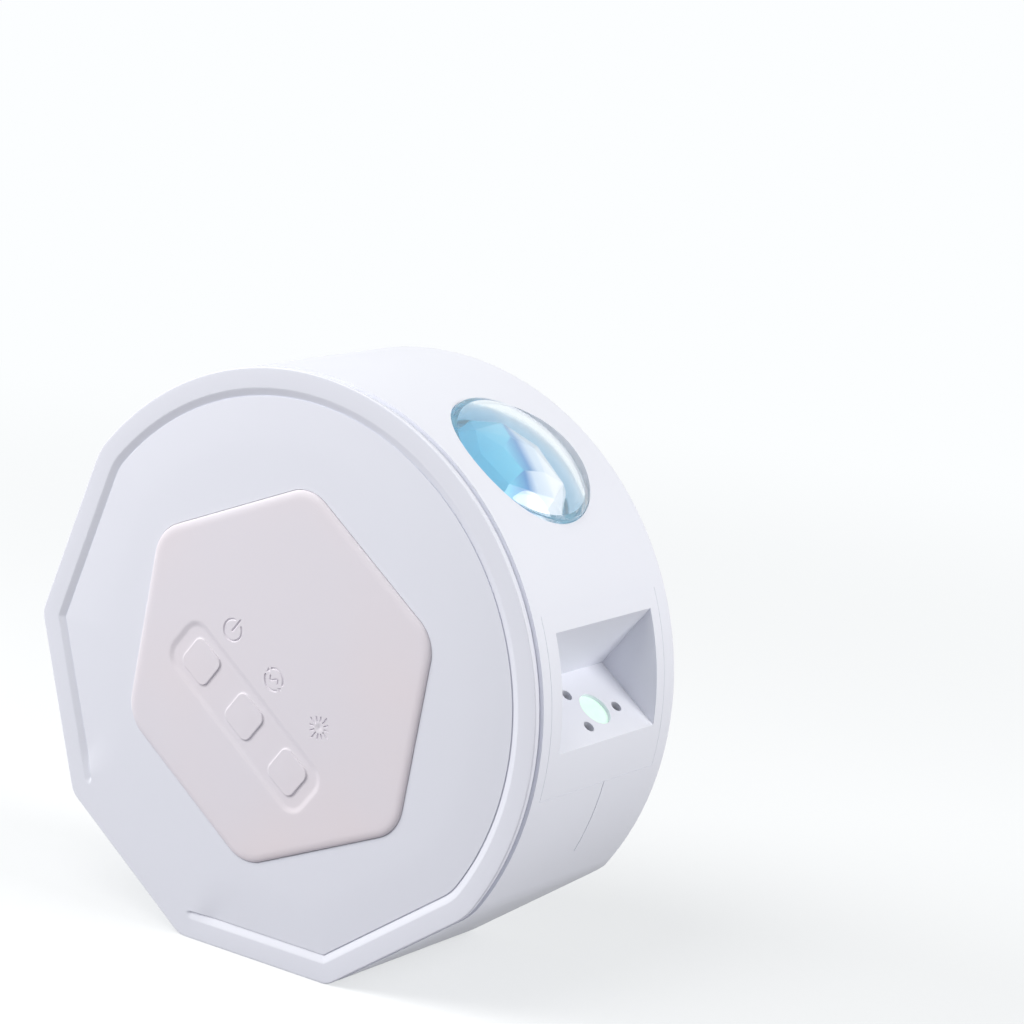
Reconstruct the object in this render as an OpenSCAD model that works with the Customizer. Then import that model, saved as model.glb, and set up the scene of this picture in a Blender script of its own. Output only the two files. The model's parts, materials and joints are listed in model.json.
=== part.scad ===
// Star night light projector: a short drum whose lower half is half a decagon,
// so that it stands on any of five facets and throws its light at five angles.
// Every piece is drawn upright, with the lens on top (+Z) and the face towards -Y,
// and placed() then tips the drum onto the facet it stands on.

/* [Drum] */
// Radius of the drum, over its round half and over the facet corners
drum_r = 75; // [68:0.5:90]
// Depth of the drum, from the face to the rear rim
drum_depth = 61; // [59:0.5:80]
// Thickness of the drum's wall
wall = 2.5; // [2:0.1:3.5]
// Rounding where two facets meet
corner_r = 6; // [3:0.5:12]
// Rounding where the round half runs into a facet
blend_r = 20; // [15:1:30]
// Rounding of the rear rim
rim_round = 1.5; // [0.6:0.1:2]
// Facet it stands on, counted from the bottom one towards the laser pocket
stand_facet = 1; // [-2:1:2]

/* [Front cover] */
// Thickness of the cover's visible edge
cover_edge = 2.4; // [2:0.1:4]
// Rounding of the cover's edge
cover_round = 1.6; // [0.8:0.1:2]
// Width of the shadow gap behind the cover's edge
shadow_gap = 0.8; // [0.4:0.1:1.5]
// Depth of the shadow gap
shadow_depth = 1.2; // [0.6:0.1:1.8]
// Thickness of the cover's plate
cover_plate = 3.6; // [3.6:0.1:6]
// Length of the lip that plugs into the drum
lip_length = 2.4; // [1.5:0.1:2.6]
// Distance from the drum's outline to the middle of the groove
groove_inset = 6.5; // [5:0.1:10]
// Width of the groove that follows the outline
groove_w = 2.6; // [1.5:0.1:4]
// Depth of the groove
groove_depth = 1; // [0.5:0.1:1.5]

/* [Control pad] */
// Distance from the pad's centre to its flats
pad_apothem = 42.3; // [40:0.1:50]
// Rounding of the pad's corners
pad_corner_r = 10; // [4:0.5:14]
// Height of the pad above the face
pad_proud = 1; // [0.6:0.1:2]
// Depth of the pad's seat in the cover
pad_seat = 1.2; // [0.8:0.1:1.3]
// Width of the sunk channel round the buttons
channel_w = 53.5; // [52:0.5:60]
// Height of the channel
channel_h = 14.8; // [13.6:0.1:18]
// Depth of the channel below the pad's face
channel_depth = 0.8; // [0.4:0.1:1.2]
// Height of the button row, from the drum's axis
button_z = -14.2; // [-20:0.1:-10]

/* [Buttons] */
// Width of a square button
button_w = 10.2; // [8:0.1:12]
// Distance between two buttons
button_pitch = 17.8; // [15:0.1:19]
// Rounding of a button's corners
button_corner_r = 2.2; // [1:0.1:3]
// Height of a button above the channel's floor
button_proud = 1.1; // [0.6:0.1:1.6]
// How far a button presses in
button_travel = 0.5; // [0.2:0.05:0.6]
// Gap round a button
button_gap = 0.3; // [0.25:0.05:0.5]

/* [Lens] */
// Radius of the lens opening
lens_opening_r = 20; // [17:0.5:20.5]
// Height of the lens's crown above the drum's surface
lens_proud = 4.5; // [1:0.5:8]
// Radial gap between the lens and its opening
lens_gap = 0.3; // [0.2:0.05:0.6]

/* [Laser pocket] */
// Distance from the lens axis to the pocket's upright wall
pocket_wall_x = 42; // [40:0.5:46]
// Height of the pocket's floor above the drum's axis
pocket_floor_z = 42; // [41:0.5:46]
// Length of the pocket along the drum
pocket_length = 41; // [36:0.5:42]
// Thickness of the pocket's walls
pocket_t = 1.8; // [1.5:0.1:2]
// Radius of the laser window
window_r = 4.5; // [3:0.1:5]
// Radius of the small holes in the pocket's floor
port_r = 1.5; // [0.8:0.1:1.8]
// Distance from the window's middle to the small holes
port_ring_r = 8.2; // [7.6:0.1:8.6]
// Gap round the panel that carries the pocket
panel_gap = 0.12; // [0.1:0.02:0.4]

/* [Nebula drive] */
// Size of the gear teeth, as the gears' module
gear_module = 1; // [0.9:0.02:1]
// Teeth on the motor's pinion
pinion_teeth = 12; // [10:1:14]
// Distance from the lens axis to the disc's spindle
spindle_x = 15; // [14:0.5:18]
// Radial running clearance of every shaft
run_clear = 0.05; // [0.02:0.01:0.1]

/* [Hidden] */
$fn = 96;
eps = 0.01;

// Drum outline
facets = 5;
facet_step = 180 / facets;
apothem = drum_r * cos(facet_step / 2);
blend_turn = acos((apothem - blend_r) / (drum_r - blend_r));
blend_angle = 180 + facet_step / 2 - blend_turn;
tilt = facet_step * stand_facet;
corner_steps = 6;
blend_steps = 6;

// Levels along the drum, from the face
mid_y = drum_depth / 2;
seam_y = cover_edge + shadow_gap;
lip_end = cover_plate + lip_length;
lip_t = 1.8;
rear_t = 2.5;
rear_inset = 1.5;
rear_in = drum_depth - rear_inset - rear_t;
ledge_t = 2.4;
ledge_w = 2.5;
fit = 0.15;

// Control pad, buttons and their switches
channel_slope = 0.8;
channel_corner_r = 4;
flange_t = 0.5;
flange_w = button_w + 2.2;
flange_y = pad_seat + 0.3;
pocket_y = flange_y + flange_t + button_travel + 0.3;
flange_gap = 0.4;
stem_r = 2.4;
plunger_r = 1.6;
plunger_reach = 0.8;
switch_w = 6;
switch_t = 3.4;
key_board_y = cover_plate + 4.4;
switch_y = key_board_y - switch_t;
stem_end = switch_y - plunger_reach;
plunger_len = 2.5;
board_t = 1.6;
key_board_w = 3 * button_pitch + 11;
key_board_h = 33;
connector = [14, 3, 5];
cable_w = 10;
cable_t = 0.5;
cable_sag = 40;
key_post = [button_pitch + 11.5, key_board_h / 2 - 4];
pad_post_r = 3;
m2_r = 0.85;
m2_hole_r = 0.9;
m2_pass_r = 1.15;
m2_head_r = 1.9;
m2_head_t = 1.2;

// Rear cover screws
boss_r = 4;
boss_len = 15;
boss_angles = [128, 198, 270, 342];
boss_at = apothem - wall - boss_r;
m3_r = 1.25;
m3_hole_r = 1.3;
m3_pass_r = 1.6;
m3_head_r = 2.8;
m3_head_t = 1.2;

// Lens and its barrel
lens_r = lens_opening_r - lens_gap;
lens_wall = 2.2;
lens_flange_w = 2.8;
lens_flange_r = lens_opening_r + lens_flange_w;
lens_flange_t = 2.2;
lens_seat_depth = 8.2;
lens_edge_depth = 1.5;
lens_seat_z = drum_r - lens_seat_depth;
lens_edge_z = drum_r - lens_edge_depth;
lens_crown_z = drum_r + lens_proud;
collar_w = 4;
collar_r = lens_opening_r + collar_w;
barrel_len = 26.6;
barrel_wall = 1.8;
barrel_over = 2;
barrel_step_h = 6;
barrel_top = lens_seat_z - lens_flange_t;
barrel_bottom = barrel_top - barrel_len;
barrel_r = lens_opening_r + barrel_over;
barrel_bore_r = barrel_r - barrel_wall;
barrel_step_z = barrel_bottom + barrel_step_h;
barrel_step_w = 2.7;
barrel_flange_t = 2.4;
ear_w = 7;
ear_x = lens_opening_r + ear_w;
ear_r = 3.2;
plate_t = 2.5;
spacer_t = 1.25;

// Rings of the gem on the faceted plate: radius, sides, height and turn of each
gem_rings = [[lens_r - lens_wall - 0.5, 11, 0, 0], [13.5, 8, 4.8, 20], [6.5, 5, 8, 50]];

// Nebula drive: the ring gear has as many teeth as the drum's depth takes
gear_room = 1.2;
disc_teeth = 2 * floor((rear_in - mid_y - gear_room) / gear_module - 1);
disc_r = gear_module * disc_teeth / 2;
pinion_r = gear_module * pinion_teeth / 2;
gear_t = 3;
shelf_t = 2.5;
shelf_drop = 7;
gear_rise = 0.9;
disc_rise = 0.8;
mesh_gap = 0.05;
shelf_top = barrel_bottom - shelf_drop;
gear_z = shelf_top + gear_rise;
disc_z = gear_z + disc_rise;
motor_x = -spindle_x - disc_r - pinion_r - mesh_gap;
motor_r = 10;
motor_len = 20;
spindle_r = 2;
shaft_r = 1;
beam_hole_r = 7;
gear_rim = 0.9;
ripple_r = disc_r - 1.25 * gear_module - gear_rim;
ripple_t = 1.2;
hub_r = 4.5;
hub_flange_r = 7;
hub_cap_r = 6;
hub_low = 0.3;
hub_len = 4;
motor_screw_at = 6.5;
motor_neck_r = 3.5;
motor_screw_head_t = 0.9;
shaft_sink = 3;

// Optics under the shelf
shelf_z = shelf_top - shelf_t;
led_drop = 19.1;
sink_top = shelf_z - led_drop;
sink_w = 36;
sink_base_t = 3;
fin_count = 9;
fin_t = 1.4;
fin_len = 20;
led_board_t = 1.6;
led_board_r = 12.5;
holder_r = 15;
holder_flange_r = 17.5;
holder_flange_t = 2.4;
holder_bore_r = 10;
condenser_r = 11.3;
condenser_edge = 2;
condenser_cap = 5;
condenser_rise = 10.6;
condenser_z = sink_top + condenser_rise;

// Optics frame
frame_rim = 4;
frame_x0 = motor_x - motor_r - frame_rim;
frame_x1 = barrel_r + 2;
frame_front = mid_y - barrel_r;
flange_in = rear_in - 4;
frame_flange_t = 2.3;
frame_drop = 17;
gusset_t = 2;
gusset_reach = 12;
gusset_foot = 3;
frame_screw_z = shelf_z - 11;
frame_screws = [[frame_x0 + frame_rim + gusset_t, frame_screw_z], [-spindle_x - 8, frame_screw_z],
    [frame_x1 - frame_rim, frame_screw_z]];
frame_screw_grip = 2.2;
screw_post_r = 3;
cover_post_r = 2.5;

// Laser assembly
pocket_y0 = mid_y - pocket_length / 2 + 1;
pocket_y1 = pocket_y0 + pocket_length;
panel_y0 = pocket_y0 - 4.5;
panel_y1 = pocket_y1 + 3.5;
panel_a0 = 25.5;
panel_a1 = 59.5;
panel_t = 1.2;
seam_a0 = 10;
seam_w = 0.3;
floor_edge_x = sqrt(drum_r * drum_r - pocket_floor_z * pocket_floor_z);
laser_x = (pocket_wall_x + floor_edge_x) / 2 + 1.4;
laser_y = mid_y + 5.5;
port_angles = [83, 227, 299];
window_t = 0.8;
laser_r = 4.5;
laser_len = 20;
grating_r = 12.5;
grating_t = 0.6;
grating_z = pocket_floor_z - 5.6;
grating_x = sqrt(pow(drum_r - wall, 2) - grating_z * grating_z) - grating_r - 2.2;
grating_y = laser_y - 9;
grating_motor_r = 4.3;
grating_shaft_r = 0.75;
grating_hub_r = 2;
grating_clamp_r = 3.2;
bracket_top = pocket_floor_z - 12;
bracket_t = 6;
bracket_rim = 3;
bracket_x0 = grating_x - grating_motor_r - bracket_rim;
bracket_x1 = laser_x + laser_r + bracket_rim;
bracket_screws_at = [for (x = [bracket_x0 + bracket_rim, bracket_x1 - bracket_rim]) [x, bracket_top - 12]];

// Main board
main_w = 68;
main_h = 32;
main_room = 4.73;
main_gap = 5.2;
main_inset = 4;
main_y = rear_in - main_gap;
main_post = [main_w / 2 - main_inset, main_h / 2 - main_inset];
main_reach = apothem - wall - ledge_w - m2_head_r - main_room;
main_z = main_post[1] - (main_reach - main_post[0] * sin(facet_step)) / cos(facet_step);
usb_w = 9.2;
usb_h = 3.4;
usb_drop = 6;
usb_z = main_z - usb_drop;
usb_gap = 0.3;

function dir(a) = [cos(a), sin(a)];
function facet_dir(i) = dir(180 + facet_step * (i + 0.5));

// Tips the upright drum onto its facet, with the origin under its middle
module placed() {
    translate([0, -mid_y, apothem]) rotate([0, tilt, 0]) children();
}

// Extrudes an upright outline (x, z) from y0 back to y1
module along_y(y0, y1) {
    translate([0, y1, 0]) rotate([90, 0, 0]) linear_extrude(y1 - y0) children();
}

module rounded_square(w, h, r) {
    square([w - 2 * r, h], center = true);
    square([w, h - 2 * r], center = true);
    for (x = [-1, 1], y = [-1, 1]) translate([x * (w / 2 - r), y * (h / 2 - r)]) circle(r, $fn = 32);
}

// The drum's outline, moved inwards: a disc cut by a form whose flats are the facets,
// with their rounded corners and the flats that lead into the round half
module outline(inset = 0) {
    r = drum_r - inset;
    c_r = max(corner_r - inset, 0.5);
    c_at = (apothem - inset - c_r) / cos(facet_step / 2);
    b_r = blend_r - inset;
    b_at = (drum_r - blend_r) * dir(blend_angle);
    step = blend_turn / (blend_steps + 0.5);
    start = b_at + b_r * dir(blend_angle + step / 2) + r / 5 * dir(blend_angle + step / 2 - 90);
    blend = concat([[start[0], 2 * r], start],
        [for (k = [1 : blend_steps]) b_at + b_r / cos(step / 2) * dir(blend_angle + k * step)]);
    intersection() {
        circle(r);
        polygon(concat(blend,
            [for (k = [1 : facets - 1], turn = [0 : corner_steps])
                c_at * dir(180 + facet_step * k) + c_r * facet_dir(k - 1 + turn / corner_steps)],
            [for (k = [len(blend) - 1 : -1 : 0]) [-blend[k][0], blend[k][1]]]));
    }
}

// What a rounded rim takes off: the section outside a quarter circle of radius r,
// drawn as (outwards, backwards) from the rim's corner
module rim_section(r) {
    steps = 3;
    polygon(concat([for (k = [0 : steps]) r * [sin(90 * k / steps) - 1, 1 - cos(90 * k / steps)]],
        [[r, r], [r, -r], [-r, -r]]));
}

// Cutter that rounds the front rim of the drum's outline
module rim_cutter(r) {
    rotate([-90, 0, 0]) rotate_extrude() translate([drum_r, 0]) rim_section(r);
    for (i = [0 : facets - 1]) rotate([0, -180 - facet_step * (i + 0.5), 0])
        translate([apothem, 0, -drum_r / 3]) linear_extrude(2 * drum_r / 3) rim_section(r);
}

// A row of the three buttons' places
module at_buttons() {
    for (i = [-1 : 1]) at_button(i) children();
}

module at_button(i) {
    translate([i * button_pitch, 0, button_z]) children();
}

// A cylinder along the drum, from y0 back to y1, at [x, z]
module rod_y(at, r, y0, y1) {
    translate([at[0], y1, at[1]]) rotate([90, 0, 0]) cylinder(r = r, h = y1 - y0);
}

// A pan-head screw along Y, driven forwards: its head's seat is at y
module screw_y(at, y, r, len, head_r, head_t) {
    rod_y(at, r, y - len, y + eps);
    difference() {
        rod_y(at, head_r, y, y + head_t);
        translate([at[0], y + head_t, at[1]]) for (a = [0, 90]) rotate([0, a, 0])
            cube([1.5 * head_r * 0.8, head_t, 0.4], center = true);
    }
}

// A pan-head screw driven upwards: its head's seat is at at[2]
module screw_up(at, r, len, head_r, head_t) {
    translate([at[0], at[1], at[2]]) {
        translate([0, 0, -eps]) cylinder(r = r, h = len + eps);
        difference() {
            translate([0, 0, -head_t]) cylinder(r = head_r, h = head_t);
            translate([0, 0, -head_t]) for (a = [0, 90]) rotate(a)
                cube([1.2 * head_r, 0.4, head_t], center = true);
        }
    }
}

// ---- Face ----

// The groove follows the outline all round but for the bottom facet, and has round ends
module groove_ring() {
    half = groove_w / 2;
    end_z = -(apothem - groove_inset);
    ends = [for (s = [-1, 1]) [s * end_z * tan(facet_step / 2), end_z]];
    out = [facet_dir(facets - 2), facet_dir(1)];
    difference() {
        outline(groove_inset - half);
        outline(groove_inset + half);
        polygon([ends[0] + 2 * groove_w * out[0], ends[0] - groove_w * out[0],
            ends[1] - groove_w * out[1], ends[1] + 2 * groove_w * out[1]]);
    }
    for (end = ends) translate(end) circle(half - 0.05, $fn = 32);
}

module pad_outline(grow = 0) {
    r = pad_corner_r;
    at = (pad_apothem - r) / cos(30);
    polygon([for (k = [0 : 5], s = [-1, 1]) at * dir(60 * k) + (r + grow) * dir(60 * k + 30 * s)]);
    for (k = [0 : 5]) translate(at * dir(60 * k)) circle(r + grow, $fn = 64);
}

module front_cover() {
    placed() color([0.90, 0.91, 0.94]) difference() {
        union() {
            along_y(0, cover_edge) outline();
            along_y(cover_edge - eps, seam_y) outline(shadow_depth);
            along_y(seam_y - eps, cover_plate) outline(wall + fit);
            along_y(cover_plate - eps, lip_end) difference() {
                outline(wall + fit);
                outline(wall + fit + lip_t);
            }
            for (x = [-1, 1], z = [-1, 1])
                rod_y([x * key_post[0], button_z + z * key_post[1]], pad_post_r, cover_plate - eps, key_board_y);
        }
        rim_cutter(cover_round);
        along_y(-1, groove_depth) groove_ring();
        along_y(-1, pad_seat) pad_outline(0.1);
        at_buttons() along_y(pad_seat - eps, pocket_y)
            rounded_square(flange_w + 2 * flange_gap, flange_w + 2 * flange_gap, button_corner_r);
        at_buttons() rod_y([0, 0], stem_r + flange_gap, pad_seat, cover_plate + 1);
        for (x = [-1, 1], z = [-1, 1])
            rod_y([x * key_post[0], button_z + z * key_post[1]], m2_hole_r, cover_plate, key_board_y + 1);
    }
}

module control_pad() {
    top_r = 0.8;
    placed() color([0.93, 0.90, 0.92]) difference() {
        union() {
            hull() {
                along_y(-pad_proud, -pad_proud + eps) pad_outline(-top_r, $fn = 32);
                along_y(-pad_proud + 0.3 * top_r, -pad_proud + 0.3 * top_r + eps) pad_outline(-0.3 * top_r);
            }
            hull() {
                along_y(-pad_proud + 0.3 * top_r, -pad_proud + 0.3 * top_r + eps) pad_outline(-0.3 * top_r);
                along_y(-pad_proud + top_r - eps, -pad_proud + top_r) pad_outline();
            }
            along_y(-pad_proud + top_r - eps, pad_seat) pad_outline();
        }
        hull() {
            translate([0, 0, button_z]) {
                along_y(-pad_proud - eps, -pad_proud) rounded_square(channel_w, channel_h, channel_corner_r);
                along_y(-pad_proud + channel_depth - eps, -pad_proud + channel_depth)
                    rounded_square(channel_w - 2 * channel_slope, channel_h - 2 * channel_slope,
                        channel_corner_r - channel_slope);
            }
        }
        at_buttons() along_y(-pad_proud, pad_seat + 1)
            rounded_square(button_w + 2 * button_gap, button_w + 2 * button_gap, button_corner_r + button_gap);
    }
}

// One silicone key: its square cap, the flange that keeps it in, and its stem
module button_key(i) {
    cap_y = -pad_proud + channel_depth - button_proud;
    placed() color([0.92, 0.89, 0.91]) at_button(i) {
        hull() {
            along_y(cap_y, cap_y + eps) rounded_square(button_w - 1, button_w - 1, button_corner_r - 0.5);
            along_y(cap_y + 0.5, cap_y + 0.5 + eps) rounded_square(button_w, button_w, button_corner_r);
        }
        along_y(cap_y + 0.5, flange_y + eps) rounded_square(button_w, button_w, button_corner_r);
        along_y(flange_y, flange_y + flange_t) rounded_square(flange_w, flange_w, button_corner_r);
        rod_y([0, 0], stem_r, flange_y, stem_end);
    }
}

module button_power() { button_key(-1); }
module button_mode() { button_key(0); }
module button_light() { button_key(1); }

module switch_plunger(i) {
    placed() color([0.12, 0.12, 0.13]) at_button(i) rod_y([0, 0], plunger_r, stem_end, stem_end + plunger_len);
}

module plunger_power() { switch_plunger(-1); }
module plunger_mode() { switch_plunger(0); }
module plunger_light() { switch_plunger(1); }

module switch_bodies() {
    placed() color([0.55, 0.56, 0.58]) at_buttons() difference() {
        along_y(switch_y, key_board_y) square(switch_w, center = true);
        rod_y([0, 0], plunger_r + 0.3, switch_y - 1, stem_end + plunger_len + button_travel + 0.3);
    }
}

module key_board() {
    placed() color([0.10, 0.35, 0.20]) difference() {
        translate([0, 0, button_z]) along_y(key_board_y, key_board_y + board_t)
            rounded_square(key_board_w, key_board_h, 2);
        for (x = [-1, 1], z = [-1, 1])
            rod_y([x * key_post[0], button_z + z * key_post[1]], m2_pass_r, 0, key_board_y + board_t + 1);
    }
}

module key_board_screws() {
    placed() color([0.75, 0.75, 0.77]) for (x = [-1, 1], z = [-1, 1])
        screw_y([x * key_post[0], button_z + z * key_post[1]], key_board_y + board_t, m2_r, 5.5,
            m2_head_r, m2_head_t);
}

module key_connector() {
    placed() color([0.93, 0.92, 0.86])
        translate([-connector[0] / 2, key_board_y + board_t, button_z - key_board_h / 2 + 3]) cube(connector);
}

// Flat cable from the key board's connector to the main board's, hanging a little
module ribbon_cable() {
    y0 = key_board_y + board_t + connector[1];
    y1 = main_y - connector[1];
    z0 = button_z - key_board_h / 2 + 3 + connector[2] / 2;
    z1 = main_z + main_h / 2 - 8 + connector[2] / 2;
    steps = 16;
    function route(t) = [-(y0 + (y1 - y0) * t), z0 + (z1 - z0) * t - cable_sag * t * (1 - t) * (1 - t)];
    placed() color([0.80, 0.80, 0.82]) translate([cable_w / 2, 0, 0]) rotate([90, 0, -90])
        linear_extrude(cable_w) polygon(concat([for (k = [0 : steps]) route(k / steps)],
            [for (k = [steps : -1 : 0]) route(k / steps) + [0, cable_t]]));
}

// ---- Drum ----

// A sector of a ring round the drum's axis, between two angles and two radii
module ring_sector(a0, a1, r0, r1, y0, y1) {
    translate([0, y1, 0]) rotate([90, 0, 0]) rotate(a0) rotate_extrude(angle = a1 - a0)
        translate([r0, 0]) square([r1 - r0, y1 - y0]);
}

module drum_shell() {
    placed() color([0.95, 0.96, 0.97]) difference() {
        union() {
            difference() {
                along_y(seam_y, drum_depth) outline();
                along_y(seam_y - 1, drum_depth + 1) outline(wall);
            }
            along_y(rear_in - ledge_t, rear_in) difference() {
                outline(wall - 0.5);
                outline(wall + ledge_w);
            }
            intersection() {
                along_y(lip_end + 0.2, rear_in) outline(wall - 0.5);
                union() {
                    translate([0, mid_y, lens_seat_z]) cylinder(r = collar_r, h = drum_r);
                    for (s = [-1, 1]) translate([s * ear_x, mid_y, barrel_top]) cylinder(r = ear_r, h = drum_r);
                    for (a = boss_angles) rotate([0, -a, 0]) {
                        rod_y([boss_at, 0], boss_r, rear_in - boss_len, rear_in);
                        translate([boss_at, rear_in - boss_len, -1.5]) cube([drum_r - boss_at, boss_len, 3]);
                    }
                }
            }
        }
        translate([0, drum_depth, 0]) mirror([0, 1, 0]) rim_cutter(rim_round);
        translate([0, mid_y, barrel_top - 5]) cylinder(r = lens_opening_r, h = drum_r);
        for (s = [-1, 1]) translate([s * ear_x, mid_y, barrel_top - 1])
            cylinder(r = m2_hole_r, h = sqrt(pow(drum_r - wall, 2) - ear_x * ear_x) - barrel_top + 1.5);
        for (a = boss_angles) rotate([0, -a, 0])
            rod_y([boss_at, 0], m3_hole_r, rear_in - boss_len + 2, rear_in + 1);
        ring_sector(panel_a0, panel_a1, drum_r - panel_t - 0.05, drum_r + 2, panel_y0, panel_y1);
        translate([pocket_wall_x - pocket_t - fit, pocket_y0 - pocket_t - fit, pocket_floor_z - pocket_t - fit])
            cube([drum_r, pocket_length + 2 * (pocket_t + fit), drum_r]);
        ring_sector(seam_a0, panel_a0 + eps, drum_r - seam_w, drum_r + 2, mid_y + 3.5, mid_y + 3.5 + seam_w);
    }
}

module rear_cover() {
    slot_count = 7;
    placed() color([0.93, 0.94, 0.96]) difference() {
        union() {
            along_y(rear_in, rear_in + rear_t) outline(wall + fit);
            for (x = [-1, 1], z = [-1, 1])
                rod_y([x * main_post[0], main_z + z * main_post[1]], cover_post_r, main_y + board_t, rear_in + eps);
            for (p = concat(frame_screws, bracket_screws_at))
                rod_y(p, screw_post_r, flange_in + frame_flange_t, rear_in + eps);
        }
        for (a = boss_angles) rotate([0, -a, 0]) {
            rod_y([boss_at, 0], m3_pass_r, rear_in - 1, drum_depth);
            rod_y([boss_at, 0], m3_head_r + 0.3, rear_in + rear_t - m3_head_t, drum_depth);
        }
        for (x = [-1, 1], z = [-1, 1])
            rod_y([x * main_post[0], main_z + z * main_post[1]], m2_hole_r, 0, rear_in + 0.8);
        for (p = concat(frame_screws, bracket_screws_at)) rod_y(p, m2_hole_r, 0, rear_in + 0.8);
        translate([0, 0, usb_z]) along_y(0, drum_depth)
            rounded_square(usb_w + 2 * usb_gap, usb_h + 2 * usb_gap, 1.6);
        for (k = [0 : slot_count - 1])
            translate([(k - (slot_count - 1) / 2) * 5, 0, sink_top - 12]) along_y(0, drum_depth)
                rounded_square(1.8, 22, 0.85);
    }
}

module rear_cover_screws() {
    placed() color([0.72, 0.72, 0.74]) for (a = boss_angles) rotate([0, -a, 0])
        screw_y([boss_at, 0], rear_in + rear_t - m3_head_t, m3_r, 11, m3_head_r, m3_head_t);
}

// ---- Laser side ----

// Curved panel flush with the drum, and the square pocket moulded into it
module laser_panel() {
    x0 = pocket_wall_x - pocket_t;
    z0 = pocket_floor_z - pocket_t;
    turn = asin(panel_gap / drum_r);
    placed() color([0.94, 0.95, 0.97]) difference() {
        union() {
            ring_sector(panel_a0 + turn, panel_a1 - turn, drum_r - panel_t, drum_r,
                panel_y0 + panel_gap, panel_y1 - panel_gap);
            intersection() {
                translate([x0, pocket_y0 - pocket_t, z0])
                    cube([drum_r, pocket_length + 2 * pocket_t, drum_r]);
                along_y(0, drum_depth) circle(drum_r);
            }
        }
        translate([pocket_wall_x, pocket_y0, pocket_floor_z]) cube([drum_r, pocket_length, drum_r]);
        translate([laser_x, laser_y, z0 - 1]) cylinder(r = window_r, h = drum_r);
        translate([laser_x, laser_y, z0 - 1]) cylinder(r = window_r + 0.75, h = 1 + window_t + 0.1);
        for (a = port_angles) translate(concat([laser_x, laser_y] + port_ring_r * dir(a), z0 - 1))
            cylinder(r = port_r, h = drum_r);
    }
}

module laser_window() {
    placed() color([0.75, 0.90, 0.80, 0.5])
        translate([laser_x, laser_y, pocket_floor_z - pocket_t + 0.1]) cylinder(r = window_r + 0.7, h = window_t);
}

module laser_module() {
    placed() color([0.80, 0.66, 0.32])
        translate([laser_x, laser_y, bracket_top + 4]) rotate([180, 0, 0]) difference() {
            union() {
                cylinder(r = laser_r, h = laser_len);
                translate([0, 0, 7]) cylinder(r = laser_r - 0.4, h = laser_len - 3);
            }
            translate([0, 0, -1]) cylinder(r = 1.5, h = 3);
        }
}

module laser_bracket() {
    y0 = grating_y - grating_motor_r - bracket_rim;
    w = bracket_x1 - bracket_x0;
    placed() color([0.35, 0.36, 0.39]) difference() {
        union() {
            translate([bracket_x0, y0, bracket_top - bracket_t]) cube([w, flange_in + 1 - y0, bracket_t]);
            translate([bracket_x0, flange_in, bracket_top - frame_drop]) cube([w, frame_flange_t, frame_drop]);
        }
        translate([laser_x, laser_y, 0]) cylinder(r = laser_r, h = drum_r);
        translate([grating_x, grating_y, 0]) cylinder(r = grating_motor_r + 0.02, h = drum_r);
        for (p = bracket_screws_at) rod_y(p, m2_pass_r, 0, drum_depth);
    }
}

module grating_disc() {
    placed() color([0.80, 0.85, 0.95, 0.5]) translate([grating_x, grating_y, grating_z]) difference() {
        cylinder(r = grating_r, h = grating_t);
        translate([0, 0, -1]) cylinder(r = grating_hub_r + 0.02, h = 3);
    }
}

// Hub pressed on the motor's shaft; it clamps the film disc and turns with it
module grating_hub() {
    placed() color([0.88, 0.88, 0.86]) translate([grating_x, grating_y, grating_z]) {
        translate([0, 0, -1.6]) cylinder(r = grating_clamp_r, h = 1.6);
        translate([0, 0, -eps]) cylinder(r = grating_hub_r, h = grating_t + 2 * eps);
        translate([0, 0, grating_t]) cylinder(r = grating_clamp_r, h = 1);
        translate([0, 0, -6]) cylinder(r = grating_shaft_r, h = 6);
    }
}

module grating_motor() {
    placed() color([0.70, 0.71, 0.73]) translate([grating_x, grating_y, bracket_top + 2.6]) difference() {
        union() {
            translate([0, 0, -16]) cylinder(r = grating_motor_r, h = 15.5);
            cylinder(r = 1.8, h = 0.5);
            translate([0, 0, -0.5]) cylinder(r = 1.8, h = 0.5 + eps);
        }
        translate([0, 0, -4]) cylinder(r = grating_shaft_r + run_clear, h = 6);
    }
}

// ---- Lens and barrel ----

// A cylinder from z0 up with a domed top: its edge and its crown are at these heights
module domed(r, z0, edge_z, crown_z) {
    cap_h = crown_z - edge_z;
    cap_r = (r * r + cap_h * cap_h) / (2 * cap_h);
    intersection() {
        translate([0, 0, crown_z - cap_r]) sphere(cap_r);
        translate([0, 0, z0]) cylinder(r = r, h = crown_z - z0 + 1);
    }
}

// Hollow clear dome; its flange sits under the drum's collar
module projector_lens() {
    placed() color([0.60, 0.85, 0.96, 0.45]) translate([0, mid_y, 0]) difference() {
        union() {
            translate([0, 0, barrel_top]) cylinder(r = lens_flange_r, h = lens_flange_t);
            domed(lens_r, barrel_top, lens_edge_z, lens_crown_z);
        }
        domed(lens_r - lens_wall, barrel_top - 1, lens_edge_z - lens_wall / 2, lens_crown_z - lens_wall);
    }
}

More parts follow.
